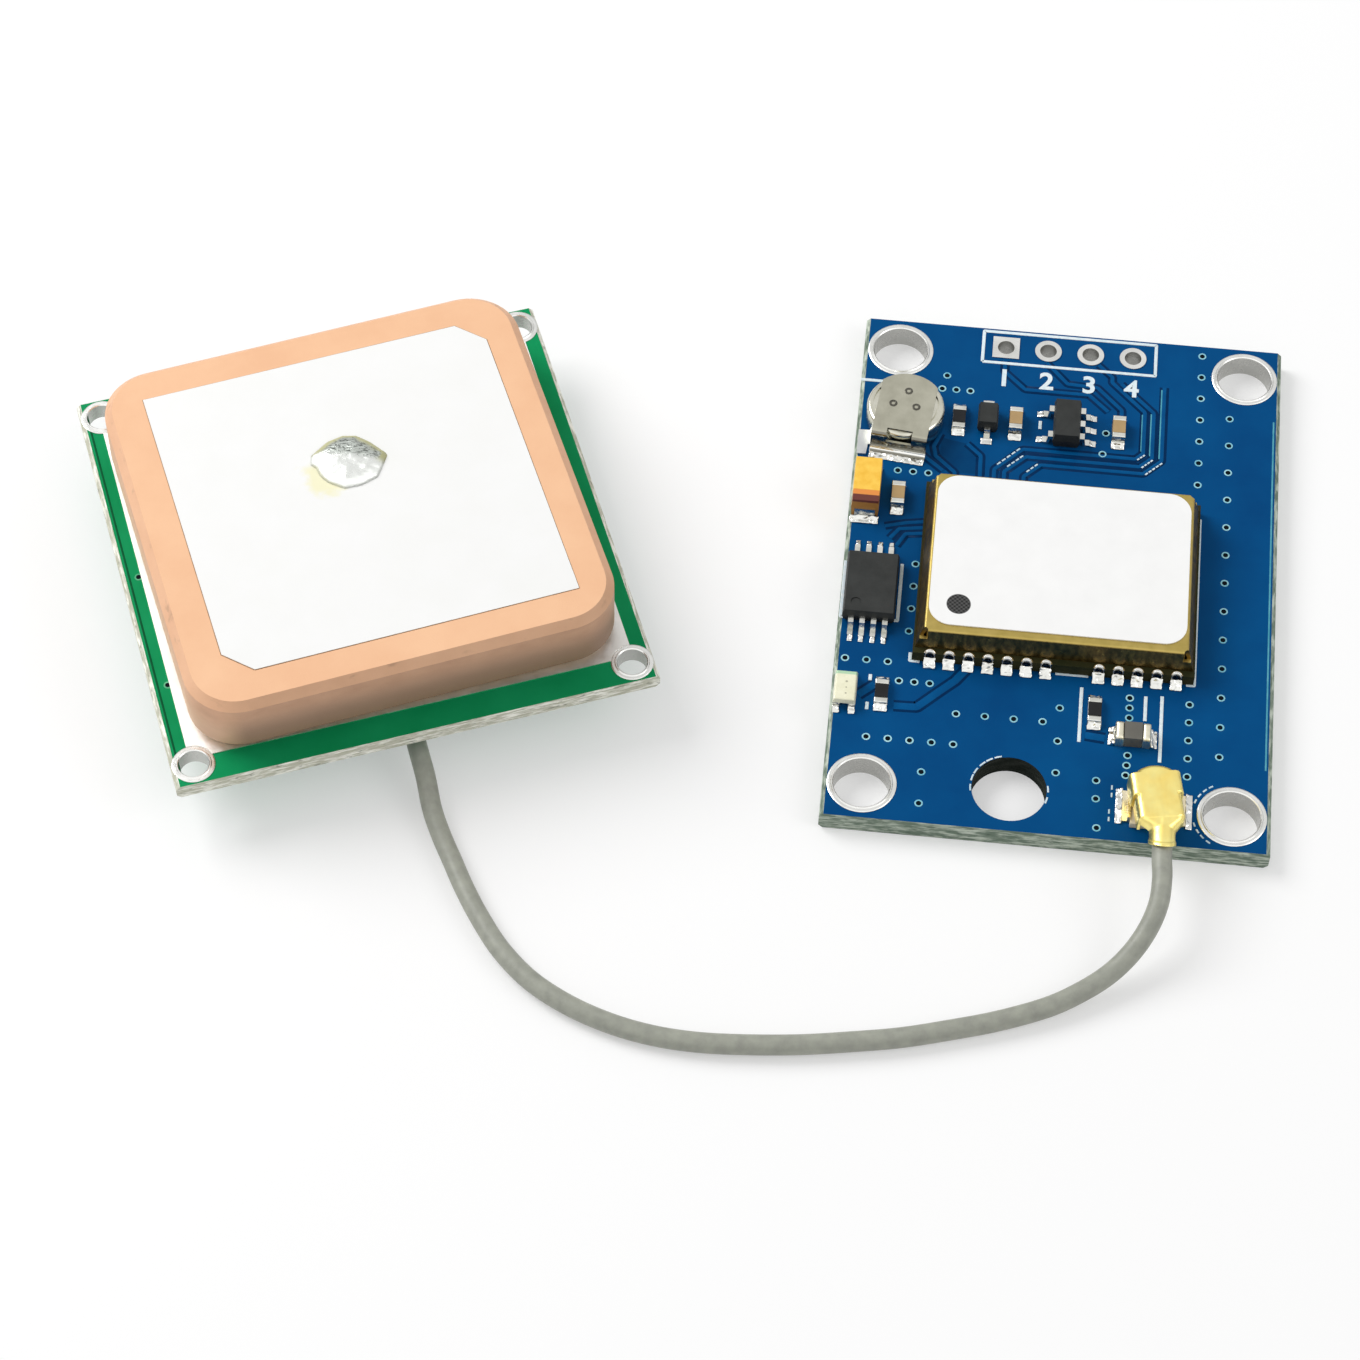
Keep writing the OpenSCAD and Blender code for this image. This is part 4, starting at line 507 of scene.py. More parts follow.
def dress(feed):
    """Gives every CAD node its finish, and returns those that scene pieces share."""
    tin = tinned_copper()
    plated = metal("plated_lead", srgb(232, 232, 226), srgb(198, 198, 190), (0.12, 0.24), 0.3,
                   dent=0.02)
    black = moulding("black_moulding", srgb(48, 50, 49), srgb(36, 38, 37), 0.58, sheen=0.28)
    solder = metal("solder", srgb(232, 232, 228), srgb(206, 206, 200), (0.08, 0.2), 0.25, dent=0.04)
    glaze = moulding("resistor_glaze", srgb(30, 30, 32), srgb(20, 20, 22), 0.34, sheen=0.25)
    gold = contact_gold()
    cap_tan = ceramic("capacitor_ceramic", srgb(184, 154, 106), srgb(166, 136, 92))
    ivory = metal("silver_cap", srgb(236, 232, 212), srgb(216, 210, 188), (0.34, 0.48))
    alumina = ceramic("resistor_ceramic", srgb(232, 232, 226), srgb(214, 214, 206))
    blue = laminate("blue_laminate", srgb(3, 78, 133), srgb(2, 68, 122),
                    srgb(196, 206, 192), srgb(112, 128, 114), HOLE_AT)
    green = laminate("green_laminate", srgb(22, 152, 95), srgb(12, 141, 84),
                     srgb(250, 250, 240), srgb(190, 190, 172))
    tinplate = metal("can_tinplate", srgb(212, 212, 206), srgb(184, 184, 178), (0.3, 0.44), 0.5,
                     (1, 4, 1))
    levelled = metal("levelled_tin", srgb(244, 244, 242), srgb(226, 226, 222), (0.4, 0.54))
    crystal = metal("crystal_can", srgb(210, 210, 204), srgb(190, 190, 182), (0.24, 0.34))
    sintered = ceramic("filter_ceramic", srgb(205, 190, 160), srgb(190, 172, 140))
    lower_tab = metal("lower_tab_steel", srgb(214, 216, 216), srgb(196, 198, 200), (0.32, 0.44))
    finishes = {
        blue: ["receiver_board"],
        green: ["antenna_board"],
        tin: ["mounting_eyelets", "header_pads", "antenna_eyelets"],
        levelled: ["antenna_ground"],
        lacquer("carrier_laminate", srgb(44, 48, 30), srgb(58, 56, 34)): ["module_carrier"],
        shield_plate(): ["module_shield"],
        label_film(): ["module_label"],
        solder: ["module_solder", "part_solder", "feed_solder", "cable_joint", "feed_pin"],
        black: ["receiver_chip", "diode_body", "regulator_body", "memory_body", "amplifier_body"],
        plated: ["tantalum_terminals", "capacitor_ends", "resistor_ends", "led_contacts", "diode_leads",
                 "regulator_leads", "memory_leads", "amplifier_leads"],
        crystal: ["reference_crystal"],
        sintered: ["band_filter", "antenna_filter"],
        metal("cell_steel", srgb(222, 220, 206), srgb(196, 194, 178), (0.14, 0.24)): ["backup_cell"],
        tab_steel(): ["cell_upper_tab"],
        lower_tab: ["cell_lower_tab"],
        tantalum_epoxy(): ["tantalum_body"],
        cap_tan: ["capacitor_bodies"],
        alumina: ["resistor_bodies"],
        glaze: ["resistor_coats"],
        ceramic("ferrite", srgb(104, 102, 94), srgb(86, 84, 78)): ["inductor_core"],
        ivory: ["inductor_ends"],
        moulding("lamp_base", srgb(234, 230, 200), srgb(216, 212, 180)): ["led_base"],
        lamp_moulding(): ["led_lens"],
        moulding("socket_moulding", srgb(232, 222, 200), srgb(216, 204, 178)): ["socket_base"],
        metal("socket_plating", srgb(244, 234, 204), srgb(228, 214, 178), (0.2, 0.34)): ["socket_ring"],
        gold: ["socket_pin", "plug_shell", "plug_contact"],
        moulding("insulator_white", srgb(236, 236, 232), srgb(222, 222, 216)): ["plug_insulator"],
        # The adhesive pad's dark tone is painted shade in the gap under the ceramic.
        moulding("adhesive_foam", srgb(150, 140, 122), srgb(128, 118, 100), 0.8): ["adhesive_pad"],
        patch_ceramic(): ["ceramic_patch"],
        silver_electrode(feed): ["patch_electrode"],
        tinplate: ["antenna_can"],
    }
    for finish, nodes in finishes.items():
        for name in nodes:
            slots = NODES[name].data.materials
            slots.clear()
            slots.append(finish)
    return {"solder": solder, "tin": tin, "gold": gold, "ivory": ivory}


# Pieces that the board's own solids leave to the surface: tracks, ink, vias


def add_piece(made):
    """Seats a finished mesh object on the part's one body."""
    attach(made, BODY)
    return made


def linked(name, mesh):
    """A new object in the scene."""
    made = bpy.data.objects.new(name, mesh)
    bpy.context.scene.collection.objects.link(made)
    return made


class Growth(Tree):
    """A geometry tree with sizes and a material as inputs. It ends in plain, painted geometry."""

    def __init__(self, name, sizes):
        super().__init__(bpy.data.node_groups.new(name, "GeometryNodeTree"))
        sockets = self.tree.interface
        sockets.new_socket("Geometry", in_out="OUTPUT", socket_type="NodeSocketGeometry")
        sockets.new_socket("Geometry", in_out="INPUT", socket_type="NodeSocketGeometry")
        for label in sizes:
            sockets.new_socket(label, in_out="INPUT", socket_type="NodeSocketFloat")
        sockets.new_socket("Material", in_out="INPUT", socket_type="NodeSocketMaterial")
        self.given = self.tree.nodes.new("NodeGroupInput")

    def input(self, label):
        """One of the tree's inputs."""
        return Value(self, self.given.outputs[label])

    def section(self, width, height, ease=None):
        """A flat section for a sweep. Its corners are rounded by a share of its height, where given."""
        flat = self.node("GeometryNodeCurvePrimitiveQuadrilateral", {}, {"Width": width, "Height": height})
        if ease is None:
            return flat
        return self.node("GeometryNodeFilletCurve", {"mode": "POLY"},
                         {"Curve": flat, "Count": 2, "Radius": height * ease, "Limit Radius": True})

    def sweep(self, path, section, caps):
        """The section swept along a path that lies level."""
        level = self.node("GeometryNodeSetCurveNormal", {"mode": "Z_UP"}, {"Curve": path})
        return self.node("GeometryNodeCurveToMesh", {},
                         {"Curve": level, "Profile Curve": section, "Fill Caps": caps})

    def end(self, geometry):
        """Makes the geometry plain, paints it and hands it out."""
        plain = self.node("GeometryNodeRealizeInstances", {}, {"Geometry": geometry})
        painted = self.node("GeometryNodeSetMaterial", {},
                            {"Geometry": plain, "Material": self.input("Material")})
        result = self.tree.nodes.new("NodeGroupOutput")
        self.tree.links.new(painted.socket, result.inputs[0])
        return self.tree


def plain_mesh(holder):
    """The mesh of an object as its modifiers or its curve leave it."""
    bpy.context.view_layer.update()
    graph = bpy.context.evaluated_depsgraph_get()
    return bpy.data.meshes.new_from_object(holder.evaluated_get(graph))


def grown(name, mesh, tree, inputs):
    """Runs a geometry tree on a mesh and keeps the result as a plain mesh object."""
    made = linked(name, mesh)
    modifier = made.modifiers.new(name, "NODES")
    modifier.node_group = tree
    for item in tree.interface.items_tree:
        if item.in_out == "INPUT" and item.name in inputs:
            modifier[item.identifier] = inputs[item.name]
    result = plain_mesh(made)
    made.modifiers.clear()
    made.data = result
    return made


def line_tree():
    """Sweeps a flat, round-edged section along paths, with eased bends."""
    t = Growth("line_on_board", ("Width", "Height", "Bend"))
    paths = t.node("GeometryNodeMeshToCurve", {}, {"Mesh": t.input("Geometry")})
    bent = t.node("GeometryNodeFilletCurve", {"mode": "POLY"},
                  {"Curve": paths, "Count": 3, "Radius": t.input("Bend"), "Limit Radius": True})
    return t.end(t.sweep(bent, t.section(t.input("Width"), t.input("Height"), 0.4), True))


# Rise from one path to the next, so that no two of them share a face
LAYER = 0.001


def path_mesh(name, paths, z):
    """Open or closed paths, in millimetres, as a mesh of edges, each a hair above the one before."""
    points = []
    edges = []
    for number, path in enumerate(paths):
        first = len(points)
        points += [metres((x, y, z + number * LAYER)) for x, y in path]
        edges += [(first + i, first + i + 1) for i in range(len(path) - 1)]
    mesh = bpy.data.meshes.new(name)
    mesh.from_pydata(points, edges, [])
    return mesh


def add_line(name, tree, paths, z, sizes, finish):
    """A piece swept along paths, in millimetres; sizes are the width, height and bend."""
    width, height, bend = sizes
    made = grown(name, path_mesh(name, paths, z), tree,
                 {"Width": width * MM, "Height": height * MM, "Bend": bend * MM, "Material": finish})
    add_piece(made)


def spot_tree(name, solid):
    """A round-edged ring, or a solid disc, at each point."""
    t = Growth(name, ("Outer", "Bore", "Height"))
    outer = t.input("Outer")
    bore = t.input("Bore")
    height = t.input("Height")
    if solid:
        spot = t.node("GeometryNodeMeshCylinder", {"fill_type": "NGON"},
                      {"Vertices": 20, "Radius": outer * 0.5, "Depth": height})
    else:
        loop = t.node("GeometryNodeCurvePrimitiveCircle", {},
                      {"Resolution": 20, "Radius": (outer + bore) * 0.25})
        spot = t.sweep(loop, t.section((outer - bore) * 0.5, height, 0.45), False)
    placed = t.node("GeometryNodeInstanceOnPoints", {}, {"Points": t.input("Geometry"), "Instance": spot})
    return t.end(placed)


def add_spots(name, tree, places, z, sizes, finish):
    """A set of rings or discs at places in millimetres; sizes are the outer width, bore and height."""
    mesh = bpy.data.meshes.new(name)
    mesh.from_pydata([metres((x, y, z)) for x, y in places], [], [])
    outer, bore, height = sizes
    made = grown(name, mesh, tree, {"Outer": outer * MM, "Bore": bore * MM, "Height": height * MM,
                                    "Material": finish})
    add_piece(made)


# Rows of vias on the receiver board: first place, step to the next, count
VIA_ROWS = [
    ((-7.40, 13.90), (0, 0), 1), ((-7.63, 12.88), (0.84, 0), 3), ((7.75, 17.05), (0, -1.62), 7),
    ((9.50, 12.45), (0, -2.01), 13), ((2.23, 10.57), (-0.14, -1.57), 2), ((-9.84, 6.48), (0.90, 0), 3),
    ((-8.33, -0.20), (-0.02, -1.59), 4), ((-11.88, -7.20), (1.22, 0), 3), ((-8.72, -8.45), (0.875, 0), 3),
    ((-5.36, -10.35), (1.63, 0), 4), ((0.45, -9.32), (0, 0), 1), ((-10.29, -12.43), (1.225, 0), 5),
    ((0.43, -11.57), (0, -2.13), 2), ((-7.05, -14.46), (0, -2.08), 2), ((2.70, -13.97), (0.03, -1.21), 2),
    ((2.85, -17.09), (0, 0), 1), ((7.74, -8.30), (0, -1.22), 5), ((4.36, -8.21), (0.01, -0.68), 3),
    ((4.38, -12.11), (-0.03, -0.67), 3),
]

# Outer width, bore and height of a via's ring, and of the dark disc of painted shade that fills its bore
VIA_SIZES = (0.48, 0.30, 0.03)
VIA_BORE_SIZES = (0.33, 0.0, 0.01)
VIA_LIFT = 0.005

# Vias on the antenna's board
ANTENNA_VIAS = [(-52.16, -7.84), (-49.24, -14.97)]

# Middles of the weld spots on the backup cell's upper tab; their outer width, bore and height
WELDS = [(-10.46, 10.20), (-9.61, 11.20), (-9.09, 10.05)]
WELD_SIZES = (0.50, 0.22, 0.06)


def add_vias():
    """Via rings with discs of painted shade in their bores on the boards, the receiver board's rings
    brightened by a painted highlight, and the weld craters of the backup cell's tab.
    """
    ring = spot_tree("rings", False)
    disc = spot_tree("discs", True)
    # The receiver board's via rings: lacquer over copper, made paler still by a painted highlight.
    rim = lacquer("via_rim", srgb(176, 224, 232), srgb(110, 184, 206), 0.25)
    # Dark discs of painted shade stand for the shade down each via's bore.
    dark = lacquer("via_bore", srgb(6, 12, 18), srgb(10, 20, 28), 0.5)
    pale = lacquer("antenna_via_rim", srgb(120, 200, 160), srgb(80, 176, 130), 0.25)
    weld = metal("weld_rim", srgb(104, 102, 94), srgb(80, 78, 72), (0.2, 0.36))
    rows = [(x + i * dx, y + i * dy) for (x, y), (dx, dy), n in VIA_ROWS for i in range(n)]
    board = high("receiver_board").z + VIA_LIFT
    far_board = high("antenna_board").z + VIA_LIFT
    for name, places, z, finish, slot in (
            ("vias_top", rows, board, rim, "blue_solder_mask"),
            ("vias_underside", rows, 0.0, rim, "blue_solder_mask"),
            ("antenna_vias", ANTENNA_VIAS, far_board, pale, "green_solder_mask")):
        add_spots(name, ring, places, z, VIA_SIZES, finish)
        add_spots(name + "_bore_shade", disc, places, z, VIA_BORE_SIZES, dark)
    add_spots("weld_craters", ring, WELDS, high("cell_upper_tab").z, WELD_SIZES, weld)


# Copper tracks on the receiver board, as centre lines
TRACKS = [
    [(1.6, 15.7), (2.45, 14.85), (2.45, 14.45), (4.47, 12.40), (4.47, 9.30), (4.05, 8.85), (-2.60, 8.85),
     (-4.20, 7.20), (-4.20, 5.60)],
    [(3.0, 14.40), (5.00, 12.40), (5.00, 9.00), (4.30, 8.30), (-2.40, 8.30), (-3.60, 7.10), (-3.60, 5.60)],
    [(5.57, 14.40), (5.57, 8.85), (4.53, 7.80), (-1.50, 7.80), (-2.45, 6.85), (-2.45, 5.60)],
    [(-4.0, 15.4), (-4.0, 14.6), (-2.70, 13.35), (1.10, 13.35), (2.30, 12.20)],
    [(-1.5, 15.5), (-0.2, 14.05), (1.60, 13.95), (3.10, 12.40), (3.10, 11.5)],
    [(-7.50, 9.50), (-7.85, 8.50), (-7.70, 7.80), (-6.50, 6.70), (-6.50, 5.60)],
    [(-5.90, 8.90), (-5.05, 8.10), (-5.00, 5.60)],
    [(-8.60, 7.90), (-7.20, 6.75)],
    [(-10.30, 2.35), (-9.10, 2.70), (-8.00, 2.90)],
    [(-9.95, 1.50), (-9.45, 2.23), (-8.00, 2.46)],
    [(-9.54, 1.00), (-9.07, 1.90), (-8.00, 2.05)],
]
WIDE_TRACKS = [
    [(-8.90, -10.18), (-7.60, -10.14), (-6.45, -8.98), (-5.55, -8.10), (-5.0, -7.3)],
    [(-10.96, -9.65), (-10.07, -8.83)],
    [(1.95, -11.0), (3.06, -11.1)],
]
TRACK_W = 0.24
WIDE_TRACK_W = 0.46
TRACK_H = 0.018
TRACK_BEND = 0.2
CLEARANCE = 0.16
CLEARANCE_H = 0.012

# Part of the receiver board without copper
BARE_ISLAND = [(-7.5, 7.8), (-6.4, 6.7), (-5.2, 6.7), (-5.2, 8.1), (-5.9, 8.9), (-7.4, 9.2)]
ISLAND_H = 0.003

# Painted highlights where the mask ends, along the board's right edge and beside three tracks
MASK_EDGE_HIGHLIGHTS = [
    [(12.11, 12.5), (12.11, -12.3)],
    [(4.35, 12.2), (4.35, 9.45)],
    [(4.87, 12.3), (4.87, 9.15)],
    [(5.43, 14.2), (5.43, 9.0)],
]
MASK_HIGHLIGHT_SIZES = (0.10, 0.03, 0.0)


def add_plate(name, outline, z, height, finish):
    """A thin flat form with that outline, in millimetres."""
    count = len(outline)
    points = [metres((x, y, at)) for at in (z - height, z + height) for x, y in outline]
    faces = [tuple(reversed(range(count))), tuple(range(count, 2 * count))]
    faces += [(i, (i + 1) % count, count + (i + 1) % count, count + i) for i in range(count)]
    mesh = bpy.data.meshes.new(name)
    mesh.from_pydata(points, [], faces)
    mesh.materials.append(finish)
    add_piece(linked(name, mesh))


def add_tracks(tree):
    """Copper tracks under the lacquer, each in a darker clearance, bare laminate and painted highlights
    along the mask's edges.
    """
    top = high("receiver_board").z
    bare = lacquer("lacquer_over_laminate", srgb(2, 47, 89), srgb(2, 41, 82), 0.34)
    copper = lacquer("lacquer_over_copper", srgb(5, 84, 140), srgb(4, 76, 130), 0.3)
    for name, paths, width in (("fine", TRACKS, TRACK_W), ("wide", WIDE_TRACKS, WIDE_TRACK_W)):
        gap = (width + 2 * CLEARANCE, CLEARANCE_H, TRACK_BEND)
        add_line(name + "_clearance", tree, paths, top, gap, bare)
        add_line(name + "_tracks", tree, paths, top, (width, 2 * TRACK_H, TRACK_BEND), copper)
    island = lacquer("lacquer_over_island", srgb(3, 66, 114), srgb(2, 60, 108), 0.34)
    add_plate("bare_island", BARE_ISLAND, top, ISLAND_H, island)
    # Pale lines of painted highlight along the mask's edges.
    highlight_finish = lacquer("edge_seam", srgb(96, 170, 186), srgb(70, 150, 172), 0.3)
    add_line("edge_seam", tree, MASK_EDGE_HIGHLIGHTS, top, MASK_HIGHLIGHT_SIZES, highlight_finish)


def arc_path(centre, radius, start, end, steps):
    """Points on an arc, angles in degrees."""
    angles = [math.radians(start + (end - start) * i / steps) for i in range(steps + 1)]
    return [(centre[0] + radius * math.cos(a), centre[1] + radius * math.sin(a)) for a in angles]


def dashes(start, end, count):
    """Short strokes in a row from one point to another."""
    a = Vector(start)
    b = Vector(end)
    return [[tuple(a.lerp(b, i / count)), tuple(a.lerp(b, (i + 0.7) / count))] for i in range(count)]


# Lines of the white legend, with two painted highlights along the aerial track's edges; their width,
# height and bend
LEGEND_AND_HIGHLIGHT_LINES = [
    [(-5.38, 15.22), (4.98, 15.22), (4.98, 17.58), (-5.38, 17.58), (-5.38, 15.22)],
    [(-12.5, 13.05), (-10.9, 13.05)],
    [(-12.36, -0.40), (-12.36, -4.36), (-12.15, -4.36)],
    [(-9.10, -0.30), (-9.10, -4.32), (-9.32, -4.32)],
    [(-8.20, -6.45), (-8.20, -7.00), (-7.65, -7.00)],
    [(7.95, 4.80), (7.95, -6.98), (7.50, -6.98)],
    [(0.08, -6.98), (1.95, -6.98)],
    [(1.62, -7.80), (1.62, -11.50)],
    # These two lines are painted highlights along the edges of the aerial track, drawn in the legend's
    # ink.
    [(5.26, -8.02), (5.26, -9.70)],
    [(6.18, -7.92), (6.18, -12.40)],
    [(-1.68, 11.05), (-1.68, 10.45)],
    [(-10.35, -8.20), (-10.35, -8.60)],
    [(-10.40, -10.10), (-10.40, -10.60)],
]
INK_SIZES = (0.20, 0.05, 0.03)
INK_LIFT = 0.01

# Numbers of the header's pins: place of the first, step to the next, size, half thickness, extra weight
NUMBER_AT = (-4.01, 13.5)
PIN_PITCH = 2.54
NUMBER_SIZE = 1.75
NUMBER_RISE = 0.02
NUMBER_WEIGHT = 0.045

# Painted glints where the mask ends: a corner ring, the socket's pad, the locating hole, bends of tracks
CORNER = (10.3, -15.55)
MASK_GLINTS = [arc_path(CORNER, 2.2, a, a + 7, 2) for a in (120, 131, 143, 155, 196, 208, 219, 231)]
MASK_GLINTS += [[(3.6, y), (3.6, y - 0.28)] for y in (-14.2, -14.7)]
MASK_GLINTS += [[(3.5, y), (3.5, y - 0.28)] for y in (-15.8, -16.3)]
MASK_GLINTS += [arc_path(HOLE_AT, 2.17, a, a + 11, 3) for a in (-20, 0, 104, 118, 131, 147, 160, 178)]
MASK_GLINTS += dashes((-4.05, 7.55), (-2.70, 8.95), 5) + dashes((-3.45, 7.45), (-2.50, 8.42), 4)
MASK_GLINTS += dashes((-2.30, 7.18), (-1.62, 7.88), 3) + dashes((4.15, 8.78), (4.62, 9.22), 3)
MASK_GLINTS += dashes((4.42, 8.22), (5.10, 8.90), 4) + dashes((4.65, 7.72), (5.67, 8.74), 5)
GLINT_SIZES = (0.10, 0.03, 0.0)


def add_ink(tree):
    """White legend: the header's frame, corner and side marks and the pins' numbers, and two painted
    highlights; painted glints where the mask ends.
    """
    top = high("receiver_board").z
    f = Finish("legend_ink")
    ink = f.set({"Base Color": f.mix(f.cloud(0.25, 3.0), srgb(206, 226, 234), srgb(236, 242, 244)),
                 "Roughness": f.spread(f.grain(0.1), 0.5, 0.66), "Normal": f.bump(f.grain(0.12), 0.01)})
    add_line("legend_and_highlight_lines", tree, LEGEND_AND_HIGHLIGHT_LINES, top + INK_LIFT, INK_SIZES, ink)
    # Pale strokes of painted glint along the mask's edges and the tracks' bends.
    pale = lacquer("mask_edge", srgb(226, 238, 242), srgb(184, 210, 222), 0.3)
    add_line("mask_glints", tree, MASK_GLINTS, top, GLINT_SIZES, pale)
    for i in range(4):
        text = bpy.data.curves.new("pin_number", "FONT")
        text.body = str(i + 1)
        text.size = NUMBER_SIZE * MM
        text.align_x = "CENTER"
        text.extrude = NUMBER_RISE * MM
        text.offset = NUMBER_WEIGHT * MM
        holder = linked("pin_number_holder", text)
        mesh = plain_mesh(holder)
        bpy.data.objects.remove(holder)
        at = (NUMBER_AT[0] + PIN_PITCH * i, NUMBER_AT[1], top + NUMBER_RISE)
        mesh.transform(Matrix.Translation(metres(at)))
        mesh.materials.clear()
        mesh.materials.append(ink)
        add_piece(linked("pin_number_%d" % (i + 1), mesh))


# Soft skins over the plain CAD forms

# Height over a skin's lowest point at which its ripple is whole
RIPPLE_START = 0.1


def eased(name, node, finish, voxel, rounds=5, ripple=0.0, ripple_size=1.0):
    """A CAD node with eased edges and, where ripple is set, the uneven skin of real solder."""
    mesh = NODES[node].data.copy()
    mesh.transform(Matrix.Scale(1 / MM, 4))
    shape = bmesh.new()
    shape.from_mesh(mesh)
    bmesh.ops.remove_doubles(shape, verts=shape.verts, dist=1e-4)
    shape.to_mesh(mesh)
    shape.free()
    made = linked(name, mesh)
    remesh = made.modifiers.new("skin", "REMESH")
    remesh.mode = "VOXEL"
    remesh.voxel_size = voxel
    ease = made.modifiers.new("ease", "SMOOTH")
    ease.factor = 0.5
    ease.iterations = rounds
    skin = plain_mesh(made)
    made.modifiers.clear()
    made.data = skin
    floor = min(v.co.z for v in skin.vertices)
    places = []
    for at, outward in [(v.co.copy(), v.normal.copy()) for v in skin.vertices]:
        lift = min(1.0, (at.z - floor) / RIPPLE_START)
        places.extend(at + outward * (ripple * lift * noise.noise(at / ripple_size)))
    skin.vertices.foreach_set("co", places)
    skin.transform(Matrix.Scale(MM, 4))
    skin.materials.clear()
    skin.materials.append(finish)
    skin.shade_smooth()
    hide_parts(node)
    return add_piece(made)


# Outline of the feed joint on the electrode, clockwise from its left end
FEED_OUTLINE = [
    (-43.00, -1.45), (-42.25, -0.36), (-41.45, 0.18), (-40.69, 0.27), (-39.88, -0.05), (-38.82, -0.74),
    (-38.71, -0.92), (-38.84, -1.70), (-39.00, -2.51), (-39.82, -3.20), (-40.77, -3.55), (-41.73, -3.26),
    (-42.23, -2.87), (-42.58, -2.33), (-42.94, -2.10),
]
FEED_HEIGHT = 0.5
FEED_RIPPLE = 0.07
FEED_RIPPLE_SIZE = 0.55
FEED_RINGS = 14
FEED_ROUND = 96


def add_feed_joint():
    """A flat cap of solder that follows its outline, steep at the rim and uneven on top."""
    base = low("feed_solder").z
    centre = sum((Vector(point) for point in FEED_OUTLINE), Vector((0, 0))) / len(FEED_OUTLINE)
    count = len(FEED_OUTLINE)
    rim = []
    for k in range(FEED_ROUND):
        along = k * count / FEED_ROUND
        i = int(along)
        corners = [Vector(FEED_OUTLINE[(i + j) % count]) for j in range(2)]
        rim.append(corners[0].lerp(corners[1], along - i))
    points = [Vector((centre.x, centre.y, base + FEED_HEIGHT))]
    for ring in range(1, FEED_RINGS + 1):
        share = ring / FEED_RINGS
        for k in range(FEED_ROUND):
            at = centre.lerp(rim[k], share)
            height = FEED_HEIGHT * (1 - share ** 3.2) ** 0.7
            wave = noise.noise(Vector((at.x, at.y, 3.0)) / FEED_RIPPLE_SIZE)
            ripple = FEED_RIPPLE * wave * (1 - share ** 6)
            points.append(Vector((at.x, at.y, base + max(height + ripple, 0))))
    faces = [(0, 1 + k, 1 + (k + 1) % FEED_ROUND) for k in range(FEED_ROUND)]
    for ring in range(FEED_RINGS - 1):
        start = 1 + ring * FEED_ROUND
        for k in range(FEED_ROUND):
            other = (k + 1) % FEED_ROUND
            faces.append((start + k, start + FEED_ROUND + k, start + FEED_ROUND + other, start + other))
    faces.append(tuple(1 + (FEED_RINGS - 1) * FEED_ROUND + k for k in reversed(range(FEED_ROUND))))
    mesh = bpy.data.meshes.new("feed_joint")
    mesh.from_pydata([point * MM for point in points], [], faces)
    shape = bmesh.new()
    shape.from_mesh(mesh)
    bmesh.ops.recalc_face_normals(shape, faces=shape.faces)
    shape.to_mesh(mesh)
    shape.free()
    mesh.materials.append(feed_joint_solder(centre.y))
    mesh.shade_smooth()
    made = linked("feed_joint", mesh)
    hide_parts("feed_solder")
    add_piece(made)


# Half-round plated cuts along the front and rear edges of the module's carrier
SLEEVE_XS = [-7.1 + 1.1 * i for i in range(7)] + [2.5 + 1.1 * i for i in range(5)]
SLEEVE_R = 0.30
SLEEVE_WALL = 0.05
SLEEVE_RIM = 0.09


def sleeve_tree():
    """A half-round sleeve with a rim on top at each point, turned by the point's own angle."""
    t = Growth("edge_contacts", ("Radius", "Wall", "Rim", "Height"))
    radius = t.input("Radius")
    wall = t.input("Wall")
    rim = t.input("Rim")
    height = t.input("Height")
    join = t.tree.nodes.new("GeometryNodeJoinGeometry")
    for reach, width, depth, lift in ((radius - wall * 0.5, wall, height, height * 0.5),
                                      (radius + rim * 0.5 - wall, rim, wall, height)):
        bow = t.node("GeometryNodeCurveArc", {"mode": "RADIUS"},
                     {"Resolution": 16, "Radius": reach, "Start Angle": 0.0, "Sweep Angle": math.pi})
        swept = t.sweep(bow, t.section(width, depth), True)
        place = t.node("ShaderNodeCombineXYZ", {}, {"Z": lift})
        moved = t.node("GeometryNodeTransform", {}, {"Geometry": swept, "Translation": place})
        t.tree.links.new(moved.socket, join.inputs[0])
    angle = t.node("GeometryNodeInputNamedAttribute", {"data_type": "FLOAT"}, {"Name": "turn"})
    turn = t.node("ShaderNodeCombineXYZ", {}, {"Z": angle})
    placed = t.node("GeometryNodeInstanceOnPoints", {},
                    {"Points": t.input("Geometry"), "Instance": Value(t, join.outputs[0]),
                     "Rotation": turn})
    return t.end(placed)


def add_sleeves(finish):
    """The plating of the carrier's edge contacts."""
    bottom = low("module_carrier")
    top = high("module_carrier")
    sides = ((bottom.y, 0.0), (top.y, math.pi))
    mesh = bpy.data.meshes.new("edge_contacts")
    mesh.from_pydata([metres((x, y, bottom.z)) for y, _ in sides for x in SLEEVE_XS], [], [])
    turns = mesh.attributes.new("turn", "FLOAT", "POINT")
    turns.data.foreach_set("value", [angle for _, angle in sides for _ in SLEEVE_XS])
    made = grown("edge_contacts", mesh, sleeve_tree(),
                 {"Radius": SLEEVE_R * MM, "Wall": SLEEVE_WALL * MM, "Rim": SLEEVE_RIM * MM,
                  "Height": (top.z - bottom.z) * MM, "Material": finish})
    add_piece(made)


# Lines on the antenna: the clearance along its board's left edge, and the electrode's fired edge
ANTENNA_TURN = 22.0
ANTENNA_BORDER = 13.35
BORDER_SIZES = (0.12, 0.02, 0.0)
FIRED_SIZES = (0.10, 0.02, 0.0)


